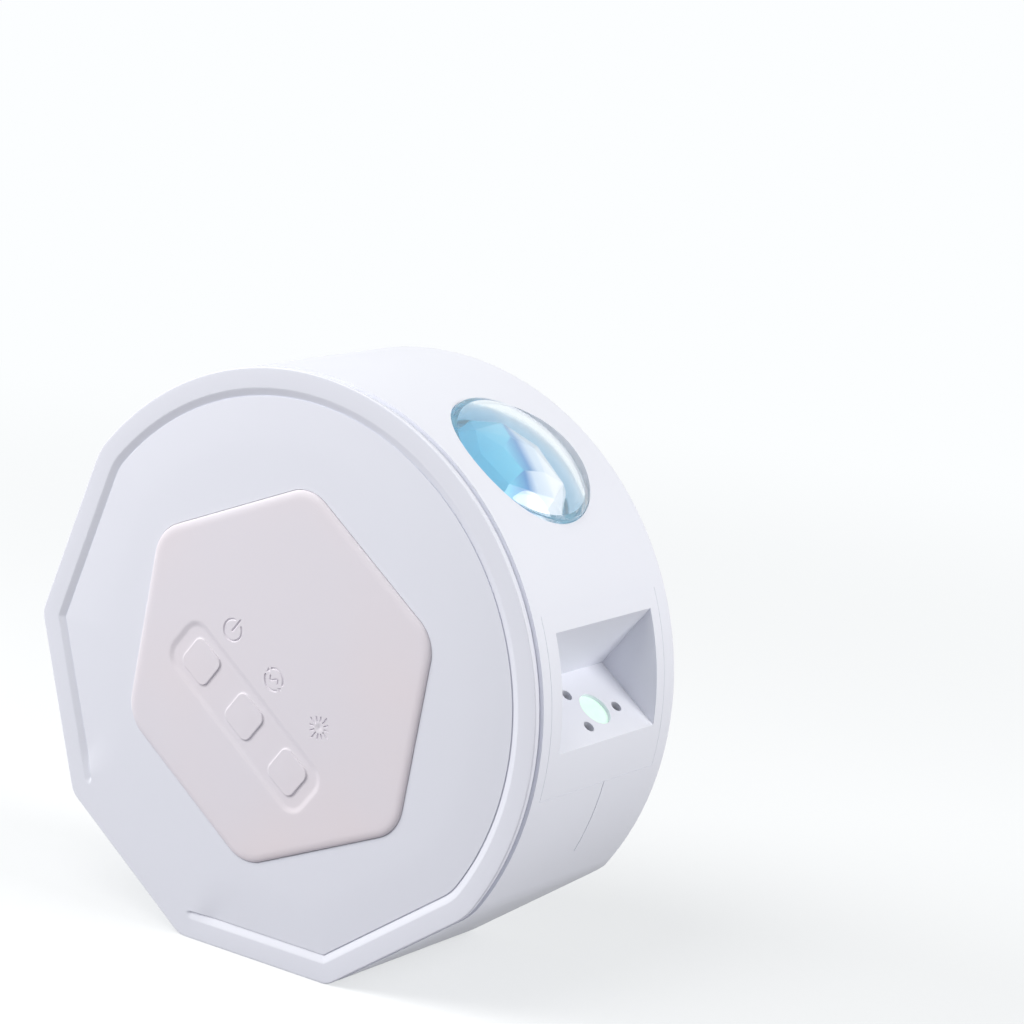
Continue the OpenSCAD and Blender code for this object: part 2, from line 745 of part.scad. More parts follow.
module lens_barrel() {
    placed() color([0.20, 0.21, 0.23]) translate([0, mid_y, 0]) difference() {
        union() {
            translate([0, 0, barrel_bottom]) cylinder(r = barrel_r, h = barrel_top - barrel_bottom);
            translate([0, 0, barrel_top - barrel_flange_t]) {
                cylinder(r = lens_flange_r, h = barrel_flange_t);
                translate([-ear_x, -ear_r, 0]) cube([2 * ear_x, 2 * ear_r, barrel_flange_t]);
                for (s = [-1, 1]) translate([s * ear_x, 0, 0]) cylinder(r = ear_r, h = barrel_flange_t);
            }
        }
        translate([0, 0, barrel_step_z]) cylinder(r = barrel_bore_r, h = drum_r);
        translate([0, 0, barrel_bottom - 1]) cylinder(r = barrel_bore_r - barrel_step_w, h = drum_r);
        for (s = [-1, 1]) translate([s * ear_x, 0, barrel_top - 5]) cylinder(r = m2_pass_r, h = 10);
    }
}

module lens_barrel_screws() {
    placed() color([0.72, 0.72, 0.74]) for (s = [-1, 1])
        screw_up([s * ear_x, mid_y, barrel_top - barrel_flange_t], m2_r, barrel_flange_t + 2.5,
            m2_head_r, m2_head_t);
}

// Acrylic plate that stands still above the turning one; its top is cut like a gem
module pattern_plate() {
    placed() color([0.62, 0.84, 0.97, 0.6]) translate([0, mid_y, barrel_top]) {
        translate([0, 0, -plate_t]) cylinder(r = barrel_bore_r - fit, h = plate_t);
        hull() for (ring = gem_rings) rotate(ring[3]) translate([0, 0, ring[2] - eps])
            cylinder(r = ring[0], h = eps, $fn = ring[1]);
    }
}

// Tube that carries the plate on the barrel's step and clamps it under the dome
module lens_spacer() {
    z1 = barrel_top - plate_t;
    placed() color([0.25, 0.26, 0.28]) translate([0, mid_y, barrel_step_z]) difference() {
        cylinder(r = barrel_bore_r - fit, h = z1 - barrel_step_z);
        translate([0, 0, -1]) cylinder(r = barrel_bore_r - fit - spacer_t, h = drum_r);
    }
}

// ---- Nebula drive ----

// Radius and half tooth angle on an involute, and the points of one flank
function involute_turn(r, base) = tan(acos(base / r)) * 180 / PI - acos(base / r);

function flank(teeth, side, steps) =
    let (pitch = gear_module * teeth / 2, base = pitch * cos(20), tip = pitch + gear_module,
        half = 90 / teeth - 4.3 / pitch + involute_turn(pitch, base), low = max(base, pitch - gear_module))
    [for (k = [0 : steps]) let (r = low + (tip - low) * k / steps)
        r * dir(side * (half - involute_turn(r, base)))];

// Spur gear outline with involute flanks and a tooth centred on +X
module gear_outline(teeth) {
    pitch = gear_module * teeth / 2;
    root = pitch - 1.25 * gear_module;
    circle(root);
    for (k = [0 : teeth - 1]) rotate(k * 360 / teeth)
        polygon(concat(
            [[root - 0.5, flank(teeth, -1, 3)[0][1]]], flank(teeth, -1, 3),
            [for (i = [3 : -1 : 0]) flank(teeth, 1, 3)[i]],
            [[root - 0.5, flank(teeth, 1, 3)[0][1]]]));
}

module at_spindle(z) {
    translate([-spindle_x, mid_y, z]) children();
}

module ring_gear() {
    placed() color([0.92, 0.92, 0.90]) at_spindle(gear_z) difference() {
        linear_extrude(gear_t) gear_outline(disc_teeth);
        translate([0, 0, -1]) cylinder(r = ripple_r - gear_rim, h = gear_t + 2);
        translate([0, 0, disc_z - gear_z]) cylinder(r = ripple_r + run_clear, h = gear_t);
    }
}

// Clear disc with a ripple pattern that turns slowly in the beam
module ripple_disc() {
    placed() color([0.75, 0.90, 1.00, 0.4]) at_spindle(disc_z) difference() {
        cylinder(r = ripple_r, h = ripple_t);
        translate([0, 0, -1]) cylinder(r = hub_r + 0.02, h = ripple_t + 2);
    }
}

// Hub that clamps the disc between its flange and its cap and runs on the spindle
module disc_hub() {
    z0 = gear_z - hub_low;
    placed() color([0.92, 0.92, 0.90]) difference() {
        union() {
            at_spindle(z0) cylinder(r = hub_r, h = hub_len);
            at_spindle(z0) cylinder(r = hub_flange_r, h = disc_z - z0);
            at_spindle(disc_z + ripple_t) cylinder(r = hub_cap_r, h = gear_rim);
        }
        at_spindle(z0 - 1) cylinder(r = spindle_r + run_clear, h = hub_len + 2);
    }
}

// Spindle pressed into the shelf, with a shoulder under the hub and a clip above it
module disc_spindle() {
    gap = 0.1;
    clip_t = 0.9;
    hub_z = gear_z - hub_low;
    placed() color([0.78, 0.78, 0.80]) {
        at_spindle(shelf_z) cylinder(r = spindle_r, h = hub_z + hub_len + gap - shelf_z + eps);
        at_spindle(shelf_top) cylinder(r = hub_r - 1.1, h = hub_z - gap - shelf_top);
        at_spindle(hub_z + hub_len + gap) cylinder(r = hub_r - 1.3, h = clip_t);
    }
}

module drive_pinion() {
    inset = 0.1;
    placed() color([0.93, 0.90, 0.80]) translate([motor_x, mid_y, gear_z + inset]) difference() {
        rotate(180 / pinion_teeth) linear_extrude(gear_t - 2 * inset) gear_outline(pinion_teeth);
        translate([0, 0, -1]) cylinder(r = shaft_r, h = gear_t + 2);
    }
}

module pinion_shaft() {
    z0 = shelf_z - shaft_sink;
    placed() color([0.80, 0.80, 0.82])
        translate([motor_x, mid_y, z0]) cylinder(r = shaft_r, h = gear_z + gear_t + 0.3 - z0);
}

// Can motor with its bearing neck, a rear bearing cup and a terminal block
module drive_motor() {
    cup_t = 2;
    placed() color([0.72, 0.73, 0.75]) translate([motor_x, mid_y, shelf_z]) difference() {
        union() {
            translate([0, 0, -motor_len]) cylinder(r = motor_r, h = motor_len);
            translate([0, 0, -motor_len - cup_t]) cylinder(r = 0.4 * motor_r, h = cup_t + eps);
            translate([-3, -motor_r - 2, -motor_len + 1]) cube([6, 4, 5]);
        }
        translate([0, 0, -shaft_sink - 0.5]) cylinder(r = shaft_r + run_clear, h = shaft_sink + 2);
        for (s = [-1, 1]) translate([0, s * motor_screw_at, -shaft_sink - 1]) cylinder(r = m2_hole_r, h = shaft_sink + 2);
    }
}

module motor_screws() {
    placed() color([0.72, 0.72, 0.74]) for (s = [-1, 1])
        translate([motor_x, mid_y + s * motor_screw_at, shelf_top]) {
            translate([0, 0, -shelf_t - shaft_sink]) cylinder(r = m2_r, h = shelf_t + shaft_sink);
            translate([0, 0, -motor_screw_head_t]) cylinder(r = m2_head_r, h = motor_screw_head_t);
        }
}

// Moulded shelf that carries the spindle, the motor and the LED unit,
// with a flange and two gussets that take it to the rear cover
module optics_frame() {
    placed() color([0.30, 0.31, 0.34]) difference() {
        union() {
            translate([frame_x0, frame_front, shelf_z]) cube([frame_x1 - frame_x0, flange_in + 1 - frame_front, shelf_t]);
            translate([frame_x0, flange_in, shelf_top - frame_drop])
                cube([frame_x1 - frame_x0, frame_flange_t, frame_drop]);
            for (x = [frame_x0, motor_x + motor_r + gusset_t, frame_x1 - gusset_t])
                translate([x, 0, 0]) rotate([90, 0, 90]) linear_extrude(gusset_t) polygon([
                    [flange_in + 1, shelf_z + 1], [flange_in + 1, shelf_top - frame_drop + gusset_foot],
                    [flange_in - gusset_foot, shelf_top - frame_drop + gusset_foot],
                    [flange_in - gusset_reach, shelf_z + 1]]);
        }
        translate([0, mid_y, shelf_z - 1]) cylinder(r = beam_hole_r, h = shelf_t + 2);
        at_spindle(shelf_z - 1) cylinder(r = spindle_r, h = shelf_t + 2);
        translate([motor_x, mid_y, shelf_z - 1]) cylinder(r = motor_neck_r, h = shelf_t + 2);
        for (s = [-1, 1]) translate([motor_x, mid_y + s * motor_screw_at, 0]) {
            translate([0, 0, shelf_z - 1]) cylinder(r = m2_pass_r, h = shelf_t + 2);
            translate([0, 0, shelf_top - motor_screw_head_t]) cylinder(r = m2_head_r + 0.1, h = 2);
        }
        for (p = frame_screws) rod_y(p, m2_pass_r, 0, drum_depth);
    }
}

module bracket_screws() {
    placed() color([0.72, 0.72, 0.74]) for (p = concat(frame_screws, bracket_screws_at))
        translate([0, 2 * flange_in, 0]) mirror([0, 1, 0])
            screw_y(p, flange_in, m2_r, frame_flange_t + frame_screw_grip, m2_head_r, m2_head_t);
}

// ---- LED unit ----

module condenser_holder() {
    z1 = shelf_z;
    placed() color([0.90, 0.90, 0.88]) translate([0, mid_y, 0]) difference() {
        union() {
            translate([0, 0, sink_top]) cylinder(r = holder_r, h = z1 - sink_top);
            for (z = [sink_top, z1 - holder_flange_t]) translate([0, 0, z])
                cylinder(r = holder_flange_r, h = holder_flange_t);
        }
        translate([0, 0, sink_top - 1]) cylinder(r = led_board_r + 0.1, h = 1 + led_board_t + 0.05);
        translate([0, 0, sink_top]) cylinder(r = holder_bore_r, h = drum_r);
        translate([0, 0, condenser_z]) cylinder(r = condenser_r + 0.1, h = drum_r);
    }
}

module condenser_lens() {
    edge_z = condenser_z + condenser_edge;
    placed() color([0.85, 0.95, 1.00, 0.4]) translate([0, mid_y, 0])
        domed(condenser_r, condenser_z, edge_z, edge_z + condenser_cap);
}

module led_board() {
    placed() color([0.92, 0.93, 0.93])
        translate([0, mid_y, sink_top]) cylinder(r = led_board_r, h = led_board_t);
}

module led_dies() {
    w = 3.4;
    pitch = 5.2;
    placed() color([0.98, 0.90, 0.45]) for (x = [-1, 1], y = [-1, 1])
        translate([(x * pitch - w) / 2, mid_y + (y * pitch - w) / 2, sink_top + led_board_t]) cube([w, w, 1]);
}

module heat_sink() {
    pitch = (sink_w - fin_t) / (fin_count - 1);
    placed() color([0.78, 0.79, 0.81]) translate([-sink_w / 2, mid_y - sink_w / 2, sink_top - sink_base_t]) {
        cube([sink_w, sink_w, sink_base_t]);
        for (k = [0 : fin_count - 1]) translate([k * pitch, 0, -fin_len]) cube([fin_t, sink_w, fin_len + eps]);
    }
}

// ---- Electronics ----

module main_board() {
    placed() color([0.10, 0.35, 0.20]) difference() {
        translate([0, 0, main_z]) along_y(main_y, main_y + board_t) rounded_square(main_w, main_h, 2);
        for (x = [-1, 1], z = [-1, 1])
            rod_y([x * main_post[0], main_z + z * main_post[1]], m2_pass_r, 0, drum_depth);
    }
}

module main_board_screws() {
    placed() color([0.75, 0.75, 0.77]) for (x = [-1, 1], z = [-1, 1])
        translate([0, 2 * main_y, 0]) mirror([0, 1, 0])
            screw_y([x * main_post[0], main_z + z * main_post[1]], main_y, m2_r, board_t + 3.2,
                m2_head_r, m2_head_t);
}

// Driver chips, three capacitors, the cable's connector and the motor driver
module board_components() {
    cap_r = 3;
    cap_len = 7;
    cap_pitch = 7.5;
    placed() color([0.14, 0.14, 0.16]) {
        on_main_board(-24, -6, [11, 1.6, 11]);
        on_main_board(14, -2, [6, 1.4, 8]);
        on_main_board(-7, main_h / 2 - 8, connector);
        on_main_board(22, 2, [8, 5, 6]);
        for (k = [1 : 3]) rod_y([k * cap_pitch, main_z - 9], cap_r, main_y - cap_len, main_y);
    }
}

// A block on the front of the main board, its lower left corner at (x, z) from the middle
module on_main_board(x, z, size) {
    translate([x, main_y - size[1], main_z + z]) cube(size);
}

module usb_socket() {
    placed() color([0.76, 0.77, 0.79]) translate([0, 0, usb_z]) difference() {
        along_y(main_y + board_t, rear_in + rear_t) rounded_square(usb_w, usb_h, 1.5);
        along_y(main_y + board_t + 1.2, drum_depth + 1) difference() {
            rounded_square(usb_w - 0.7, usb_h - 0.7, 1.2);
            square([6.4, 0.7], center = true);
        }
    }
}

front_cover();
control_pad();
button_power();
button_mode();
button_light();
plunger_power();
plunger_mode();
plunger_light();
switch_bodies();
key_board();
key_board_screws();
key_connector();
ribbon_cable();
drum_shell();
rear_cover();
rear_cover_screws();
laser_panel();
laser_window();
laser_module();
laser_bracket();
grating_disc();
grating_hub();
grating_motor();
projector_lens();
lens_barrel();
lens_barrel_screws();
lens_spacer();
pattern_plate();
ripple_disc();
ring_gear();
disc_hub();
disc_spindle();
drive_pinion();
pinion_shaft();
drive_motor();
motor_screws();
optics_frame();
bracket_screws();
condenser_holder();
condenser_lens();
led_board();
led_dies();
heat_sink();
main_board();
main_board_screws();
board_components();
usb_socket();
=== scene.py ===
# %% [markdown]
# # A star night light projector
# The object is a short white drum: half of its side is round and half is cut into
# five flat facets, so that it can stand tipped at several angles. A domed lens on
# its side throws a moving nebula, and a square pocket beside it throws stars.
# The packed model already holds every piece at its real size. This script gives
# each of them its finish, and models the soft outer forms that a plain solid lacks.

# %% Load the packed model
import json
import math
import random

import bmesh
import bpy
from mathutils import Matrix, Vector


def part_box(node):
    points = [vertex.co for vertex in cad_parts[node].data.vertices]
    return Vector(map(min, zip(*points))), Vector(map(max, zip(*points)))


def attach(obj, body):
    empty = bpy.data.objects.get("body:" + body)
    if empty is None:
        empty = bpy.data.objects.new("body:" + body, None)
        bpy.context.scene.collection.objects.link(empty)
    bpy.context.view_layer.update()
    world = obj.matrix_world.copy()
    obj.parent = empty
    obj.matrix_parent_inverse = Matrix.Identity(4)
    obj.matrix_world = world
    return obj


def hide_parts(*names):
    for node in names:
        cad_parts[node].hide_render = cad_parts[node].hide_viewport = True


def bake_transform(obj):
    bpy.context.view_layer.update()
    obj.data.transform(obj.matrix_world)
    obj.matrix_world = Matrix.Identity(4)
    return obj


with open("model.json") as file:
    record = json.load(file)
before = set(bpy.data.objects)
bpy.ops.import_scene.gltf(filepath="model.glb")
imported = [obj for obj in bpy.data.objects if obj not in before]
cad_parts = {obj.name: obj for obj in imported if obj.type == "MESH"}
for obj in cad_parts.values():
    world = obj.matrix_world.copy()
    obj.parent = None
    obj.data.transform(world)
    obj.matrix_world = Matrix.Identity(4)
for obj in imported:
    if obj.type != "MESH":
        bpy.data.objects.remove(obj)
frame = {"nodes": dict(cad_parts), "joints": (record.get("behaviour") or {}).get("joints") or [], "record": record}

bpy.context.view_layer.update()
MM = 0.001

# %% [markdown]
# ## Where things are
# The drum stands on a facet, so its own upright axes are turned by 36 degrees. The
# turn is read from the axis of the joint that spins the ripple disc, because that
# axis is the lens's axis. Below, a point of the upright drum is (x, y, z) in
# millimetres: x to the right, y back from the face and z towards the lens.

# %% Axes of the upright drum
JOINTS = {joint["name"]: joint for joint in frame["joints"]}
LENS_AXIS = Vector(JOINTS["ripple_spin"]["axis"]).normalized()
TILT = math.atan2(LENS_AXIS.x, LENS_AXIS.z)
FACETS = 5
FACET_STEP = 180 / FACETS
BODY_LOW, BODY_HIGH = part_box("front_cover")
FACE_Y = BODY_LOW.y / MM
DRUM_R = BODY_HIGH.x / MM
APOTHEM = DRUM_R * math.cos(math.radians(FACET_STEP / 2))
UPRIGHT = Matrix.Translation((0, FACE_Y * MM, APOTHEM * MM)) @ Matrix.Rotation(TILT, 4, "Y")


def at(x, y, z):
    """A point of the upright drum, in millimetres, as a place in the scene."""
    return UPRIGHT @ Vector((x * MM, y * MM, z * MM))


def heading(x, y, z):
    """A direction of the upright drum as a direction in the scene."""
    return (at(x, y, z) - at(0, 0, 0)) / MM


print("tilt:", round(math.degrees(TILT), 2), "degrees; drum radius:", round(DRUM_R, 2), "mm")

# %% [markdown]
# ## Shader arithmetic
# A finish is a small graph of nodes. Written as nodes, even "half of the noise plus
# one" takes a dozen lines, so a socket is wrapped in a class whose operators add the
# Math nodes. A mask is then written as plain arithmetic, such as `1 - noise * 0.5`.

# %% A socket that can be used in arithmetic
class Value:
    def __init__(self, wiring, socket):
        self.wiring = wiring
        self.socket = socket

    def maths(self, operation, *operands):
        inputs = dict(enumerate(operands))
        return self.wiring.add("ShaderNodeMath", {"operation": operation}, inputs)

    def __add__(self, other):
        return self.maths("ADD", self, other)

    def __radd__(self, other):
        return self.maths("ADD", other, self)

    def __sub__(self, other):
        return self.maths("SUBTRACT", self, other)

    def __rsub__(self, other):
        return self.maths("SUBTRACT", other, self)

    def __mul__(self, other):
        return self.maths("MULTIPLY", self, other)

    def __rmul__(self, other):
        return self.maths("MULTIPLY", other, self)

    def above(self, edge, width):
        """0 below the edge and 1 above it, with a soft step of that width."""
        inputs = {0: self, 1: edge - width / 2, 2: edge + width / 2}
        return self.wiring.add("ShaderNodeMapRange", {"interpolation_type": "SMOOTHSTEP"}, inputs)


print("a socket can be added, subtracted, multiplied and compared")

# %% [markdown]
# ## Nodes from a short description
# One method adds any other node: it takes the node's type, its settings and what its
# sockets hold, which may be numbers, colours or other values. A material and the
# world are both trees of nodes, so they share it. A finish is a material whose main
# shader's sockets are set by name.

# %% Nodes of one tree
def linear(red, green, blue):
    """A colour given as it shows on a screen, from 0 to 255, as Blender's linear one."""
    parts = [part / 255 for part in (red, green, blue)]
    return tuple(p / 12.92 if p <= 0.04045 else ((p + 0.055) / 1.055) ** 2.4 for p in parts)


def rgba(colour):
    """A colour as a socket takes it, fully opaque."""
    return (*colour, 1)


def darker(colour, share):
    return tuple(channel * share for channel in colour)


class Wiring:
    def __init__(self, tree):
        self.nodes = tree.nodes
        self.links = tree.links

    def put(self, socket, value):
        if isinstance(value, Value):
            self.links.new(value.socket, socket)
        else:
            socket.default_value = value

    def add(self, kind, settings=None, inputs=None, output=0):
        """Adds one node. Its settings come first, then what its sockets hold."""
        node = self.nodes.new(kind)
        for name, value in (settings or {}).items():
            if name == "stops":
                self.set_stops(node.color_ramp, value)
            else:
                setattr(node, name, value)
        for name, value in (inputs or {}).items():
            self.put(node.inputs[name], value)
        return Value(self, node.outputs[output])

    def set_stops(self, ramp, stops):
        while len(ramp.elements) < len(stops):
            ramp.elements.new(1)
        for element, (position, colour) in zip(ramp.elements, stops):
            element.position = position
            element.color = rgba(colour)


print("colour check, white:", linear(255, 255, 255))

# %% A finish: one material and its main shader
class Finish(Wiring):
    def __init__(self, name):
        self.material = bpy.data.materials.new(name)
        self.material.use_nodes = True
        super().__init__(self.material.node_tree)
        self.shader = self.nodes["Principled BSDF"]
        self.output = self.nodes["Material Output"]

    def place(self):
        """The point of the surface, in the object's own metres."""
        return self.add("ShaderNodeTexCoord", {}, {}, "Object")

    def noise(self, scale, detail=2, roughness=0.5):
        inputs = {"Vector": self.place(), "Scale": scale, "Detail": detail, "Roughness": roughness}
        return self.add("ShaderNodeTexNoise", {}, inputs, "Fac")

    def blend(self, factor, colour_a, colour_b):
        inputs = {0: factor, 6: rgba(colour_a), 7: rgba(colour_b)}
        return self.add("ShaderNodeMix", {"data_type": "RGBA"}, inputs, 2)

    def bump(self, height, distance, strength=1.0):
        inputs = {"Height": height, "Distance": distance, "Strength": strength}
        return self.add("ShaderNodeBump", {}, inputs)

    def along(self, vector, direction):
        """How much of a vector lies along a direction."""
        settings = {"operation": "DOT_PRODUCT"}
        return self.add("ShaderNodeVectorMath", settings, {0: vector, 1: direction}, "Value")

    def reach(self, start, direction):
        """How far the surface lies from a point, measured along a direction."""
        inputs = {0: self.place(), 1: start}
        offset = self.add("ShaderNodeVectorMath", {"operation": "SUBTRACT"}, inputs)
        return self.along(offset, direction)

    def set(self, **sockets):
        """Sets the main shader's sockets; an underscore in a name stands for a space."""
        for name, value in sockets.items():
            self.put(self.shader.inputs[name.replace("_", " ")], value)
        return self


print("a finish is a material with these tools:", [name for name in vars(Finish) if name[0] != "_"])

# %% [markdown]
# ## The white plastic
# Moulded ABS has a very fine spark-eroded grain, so its highlights are soft and a
# little broken. Its colour drifts by a hardly visible amount where the melt cooled
# at different rates, and handling leaves faintly smoother patches. The grain is a
# bump a few hundredths of a millimetre deep; the patches change the roughness.

# %% White moulded plastic
GRAIN_SCALE = 2600
GRAIN_DEPTH = 0.00002
DRIFT_SHADE = 0.965
PATCH_RANGE = 0.12


def moulded_plastic(name, colour, roughness):
    finish = Finish(name)
    drift = finish.noise(scale=18, detail=3)
    patches = finish.noise(scale=45, detail=4, roughness=0.6)
    finish.set(Base_Color=finish.blend(drift, darker(colour, DRIFT_SHADE), colour))
    finish.set(Roughness=patches * PATCH_RANGE + (roughness - PATCH_RANGE / 2))
    finish.set(Normal=finish.bump(finish.noise(GRAIN_SCALE, detail=1), GRAIN_DEPTH, 0.35))
    finish.set(IOR=1.46, Specular_IOR_Level=0.45)
    return finish.material


WHITE_SHELL = linear(232, 234, 243)
WHITE_FACE = linear(229, 231, 241)
SHELL = moulded_plastic("shell_plastic_finish", WHITE_SHELL, 0.40)
FACE = moulded_plastic("face_plastic_finish", WHITE_FACE, 0.46)
PANEL = moulded_plastic("panel_plastic_finish", WHITE_SHELL, 0.42)
print("plastics:", SHELL.name, FACE.name, PANEL.name)

# %% [markdown]
# ## The silicone
# The pad and its keys are one compound: a matte silicone, warmer than the plastic.
# Its skin has a faint sheen and takes a pinkish cast in broad patches, so two near
# whites are mixed by a large, soft noise.

# %% Warm white silicone
SKIN_SCALE = 3200
SKIN_DEPTH = 0.000015
COOL_SILICONE, WARM_SILICONE = linear(226, 222, 230), linear(230, 221, 226)


def silicone(name):
    finish = Finish(name)
    cast = finish.noise(scale=14).above(0.5, 0.35)
    finish.set(Base_Color=finish.blend(cast, COOL_SILICONE, WARM_SILICONE))
    finish.set(Roughness=finish.noise(scale=60, detail=3) * 0.1 + 0.55)
    finish.set(Normal=finish.bump(finish.noise(SKIN_SCALE, detail=1), SKIN_DEPTH, 0.3))
    finish.set(IOR=1.41, Sheen_Weight=0.08, Sheen_Roughness=0.4)
    return finish.material


SILICONE = silicone("silicone_finish")
print("silicone:", SILICONE.name)

# %% [markdown]
# ## Clear plastics
# Acrylic is a transmitting shader with acrylic's own index of 1.49 and almost no
# roughness. The ripple disc gets a wavy bump, which is what bends the nebula's light.
# The laser's window is lit from behind, so a pale green glow stands for it.

# %% Clear and glowing pieces
ACRYLIC_IOR = 1.49
RIPPLE_SCALE = 220
RIPPLE_DEPTH = 0.0004


def rippled_acrylic(name, colour):
    finish = Finish(name)
    finish.set(Base_Color=finish.blend(finish.noise(scale=30), colour, darker(colour, 0.97)))
    finish.set(Roughness=finish.noise(scale=80, detail=3) * 0.03 + 0.04)
    finish.set(Normal=finish.bump(finish.noise(RIPPLE_SCALE), RIPPLE_DEPTH, 0.6))
    finish.set(IOR=ACRYLIC_IOR, Transmission_Weight=1.0)
    return finish.material


def lit(name, colour, strength):
    """A surface that shines by itself, a little unevenly."""
    finish = Finish(name)
    finish.set(Base_Color=finish.blend(finish.noise(scale=400), colour, darker(colour, 0.9)))
    finish.set(Emission_Color=finish.blend(finish.noise(scale=250), colour, (1, 1, 1)))
    finish.set(Emission_Strength=strength)
    return finish.material


RIPPLE_CLEAR = rippled_acrylic("ripple_acrylic_finish", linear(225, 242, 252))
WINDOW_CLEAR = lit("window_glow_finish", linear(196, 236, 214), 0.4)
print("clear finishes:", RIPPLE_CLEAR.name, WINDOW_CLEAR.name)

# %% [markdown]
# ## The inner finishes
# The pieces inside are ordinary engineering materials: black and grey mouldings,
# acetal gears, plated and brushed metal and a green circuit board. Each takes a few
# nodes: brushed metal stretches its noise along one direction, and the board shows
# the faint relief of its tracks. The barrel under the dome is the exception: it is
# pale, so that it throws the lamp's light upwards and doesn't show as a dark ring.

# %% Inner plastics, metals and board
BRUSH_SCALE = 600.0
TRACK_SCALE = 160.0


def metal(name, colour, roughness, stretch):
    finish = Finish(name)
    mapped = finish.add("ShaderNodeMapping", {}, {"Vector": finish.place(), "Scale": stretch})
    inputs = {"Vector": mapped, "Scale": BRUSH_SCALE}
    brushed = finish.add("ShaderNodeTexNoise", {}, inputs, "Fac")
    finish.set(Base_Color=finish.blend(brushed, colour, darker(colour, 0.85)))
    finish.set(Roughness=brushed * 0.2 + (roughness - 0.1), Metallic=1.0)
    finish.set(Normal=finish.bump(brushed, 0.00001, 0.3))
    return finish.material


def circuit_board(name):
    finish = Finish(name)
    inputs = {"Vector": finish.place(), "Scale": TRACK_SCALE}
    cells = finish.add("ShaderNodeTexBrick", {"offset": 0.37}, inputs, "Fac")
    tracks = cells * finish.noise(scale=140, detail=1).above(0.5, 0.05)
    finish.set(Base_Color=finish.blend(tracks, linear(18, 74, 42), linear(40, 112, 62)))
    finish.set(Roughness=0.3 + tracks * 0.1, Normal=finish.bump(tracks, 0.00003))
    return finish.material


DARK = moulded_plastic("dark_plastic_finish", linear(32, 33, 35), 0.5)
PALE = moulded_plastic("reflector_finish", linear(206, 226, 240), 0.35)
GREY = moulded_plastic("grey_plastic_finish", linear(88, 90, 94), 0.5)
GEAR = moulded_plastic("acetal_finish", linear(236, 230, 214), 0.35)
CABLE = moulded_plastic("cable_finish", linear(200, 201, 206), 0.5)
STEEL = metal("steel_finish", linear(196, 197, 200), 0.32, (1, 6, 1))
BRASS = metal("brass_finish", linear(212, 176, 98), 0.28, (1, 1, 8))
ALUMINIUM = metal("aluminium_finish", linear(203, 205, 209), 0.38, (8, 1, 1))
BOARD = circuit_board("board_finish")
PHOSPHOR = lit("phosphor_finish", linear(250, 224, 120), 0.6)
print("inner finishes made:", len(bpy.data.materials), "materials so far")

# %% Give every node of the model its finish
FINISH_OF_SLOT = {
    "cover_plastic": FACE, "shell_plastic": SHELL, "rear_plastic": FACE, "panel_plastic": PANEL,
    "pad_silicone": SILICONE, "key_silicone": SILICONE, "lens_clear": RIPPLE_CLEAR,
    "clear_acrylic": RIPPLE_CLEAR, "window_glass": WINDOW_CLEAR, "dark_plastic": DARK,
    "grey_plastic": GREY, "white_plastic": GEAR, "gear_plastic": GEAR, "board_green": BOARD,
    "led_phosphor": PHOSPHOR, "cable_grey": CABLE, "screw_steel": STEEL, "motor_steel": STEEL,
    "socket_steel": STEEL, "module_brass": BRASS, "sink_aluminium": ALUMINIUM,
}
FINISH_OF_NODE = {"lens_barrel": PALE}
for part in frame["record"]["subparts"]:
    node = frame["nodes"][part["node"]]
    for slot in node.material_slots:
        slot.link = "OBJECT"
        slot.material = FINISH_OF_NODE.get(part["node"], FINISH_OF_SLOT[part["material_slot"]])

# %% [markdown]
# ## Outlines that every moulding follows
# The face, its groove and the drum share one outline: one half round, then five
# flats with soft corners. It is worked out as arcs joined by straight runs, and
# moved inwards it keeps the same number of points. Rings at several insets can then
# be joined point by point, which gives soft rims that no boolean leaves behind.

# %% Arcs, and loops through them
def direction(degrees):
    return Vector((math.cos(math.radians(degrees)), math.sin(math.radians(degrees))))


def arc(centre, radius, start, turn, steps):
    return [Vector(centre) + radius * direction(start + turn * k / steps) for k in range(steps + 1)]


def joined(arcs, steps):
    """One closed loop through the arcs, with straight runs cut into steps."""
    loop = []
    for stretch in arcs:
        if loop:
            loop += [loop[-1].lerp(stretch[0], k / steps) for k in range(1, steps)]
        loop += stretch
    return loop + [loop[-1].lerp(loop[0], k / steps) for k in range(1, steps)]


print("points in an arc of four steps:", len(arc((0, 0), 1, 0, 90, 4)))

# %% The drum's own outline
CORNER_R, LEAST_CORNER_R = 6, 1.2
BLEND_R = 20
BLEND_TURN = math.degrees(math.acos((APOTHEM - BLEND_R) / (DRUM_R - BLEND_R)))
BLEND_START = 180 + FACET_STEP / 2 - BLEND_TURN
FIRST_FACET = BLEND_START + BLEND_TURN
ROUND_STEPS, BLEND_STEPS, CORNER_STEPS, FLAT_STEPS = 160, 12, 8, 140


def drum_outline(inset):
    corner = max(CORNER_R - inset, LEAST_CORNER_R)
    corner_at = (APOTHEM - inset - corner) / math.cos(math.radians(FACET_STEP / 2))
    blend_at, blend_r = DRUM_R - BLEND_R, BLEND_R - inset
    right = arc(blend_at * direction(180 - BLEND_START), blend_r,
                180 - FIRST_FACET, BLEND_TURN, BLEND_STEPS)
    top = arc((0, 0), DRUM_R - inset, 180 - BLEND_START, 2 * BLEND_START - 180, ROUND_STEPS)
    left = arc(blend_at * direction(BLEND_START), blend_r, BLEND_START, BLEND_TURN, BLEND_STEPS)
    arcs = [right[:-1] + top + left[1:]]
    for k in range(1, FACETS):
        middle = corner_at * direction(180 + FACET_STEP * k)
        arcs.append(arc(middle, corner, 180 + FACET_STEP * (k - 0.5), FACET_STEP, CORNER_STEPS))
    return joined(arcs, FLAT_STEPS)


print("points in one ring of the drum:", len(drum_outline(0)))

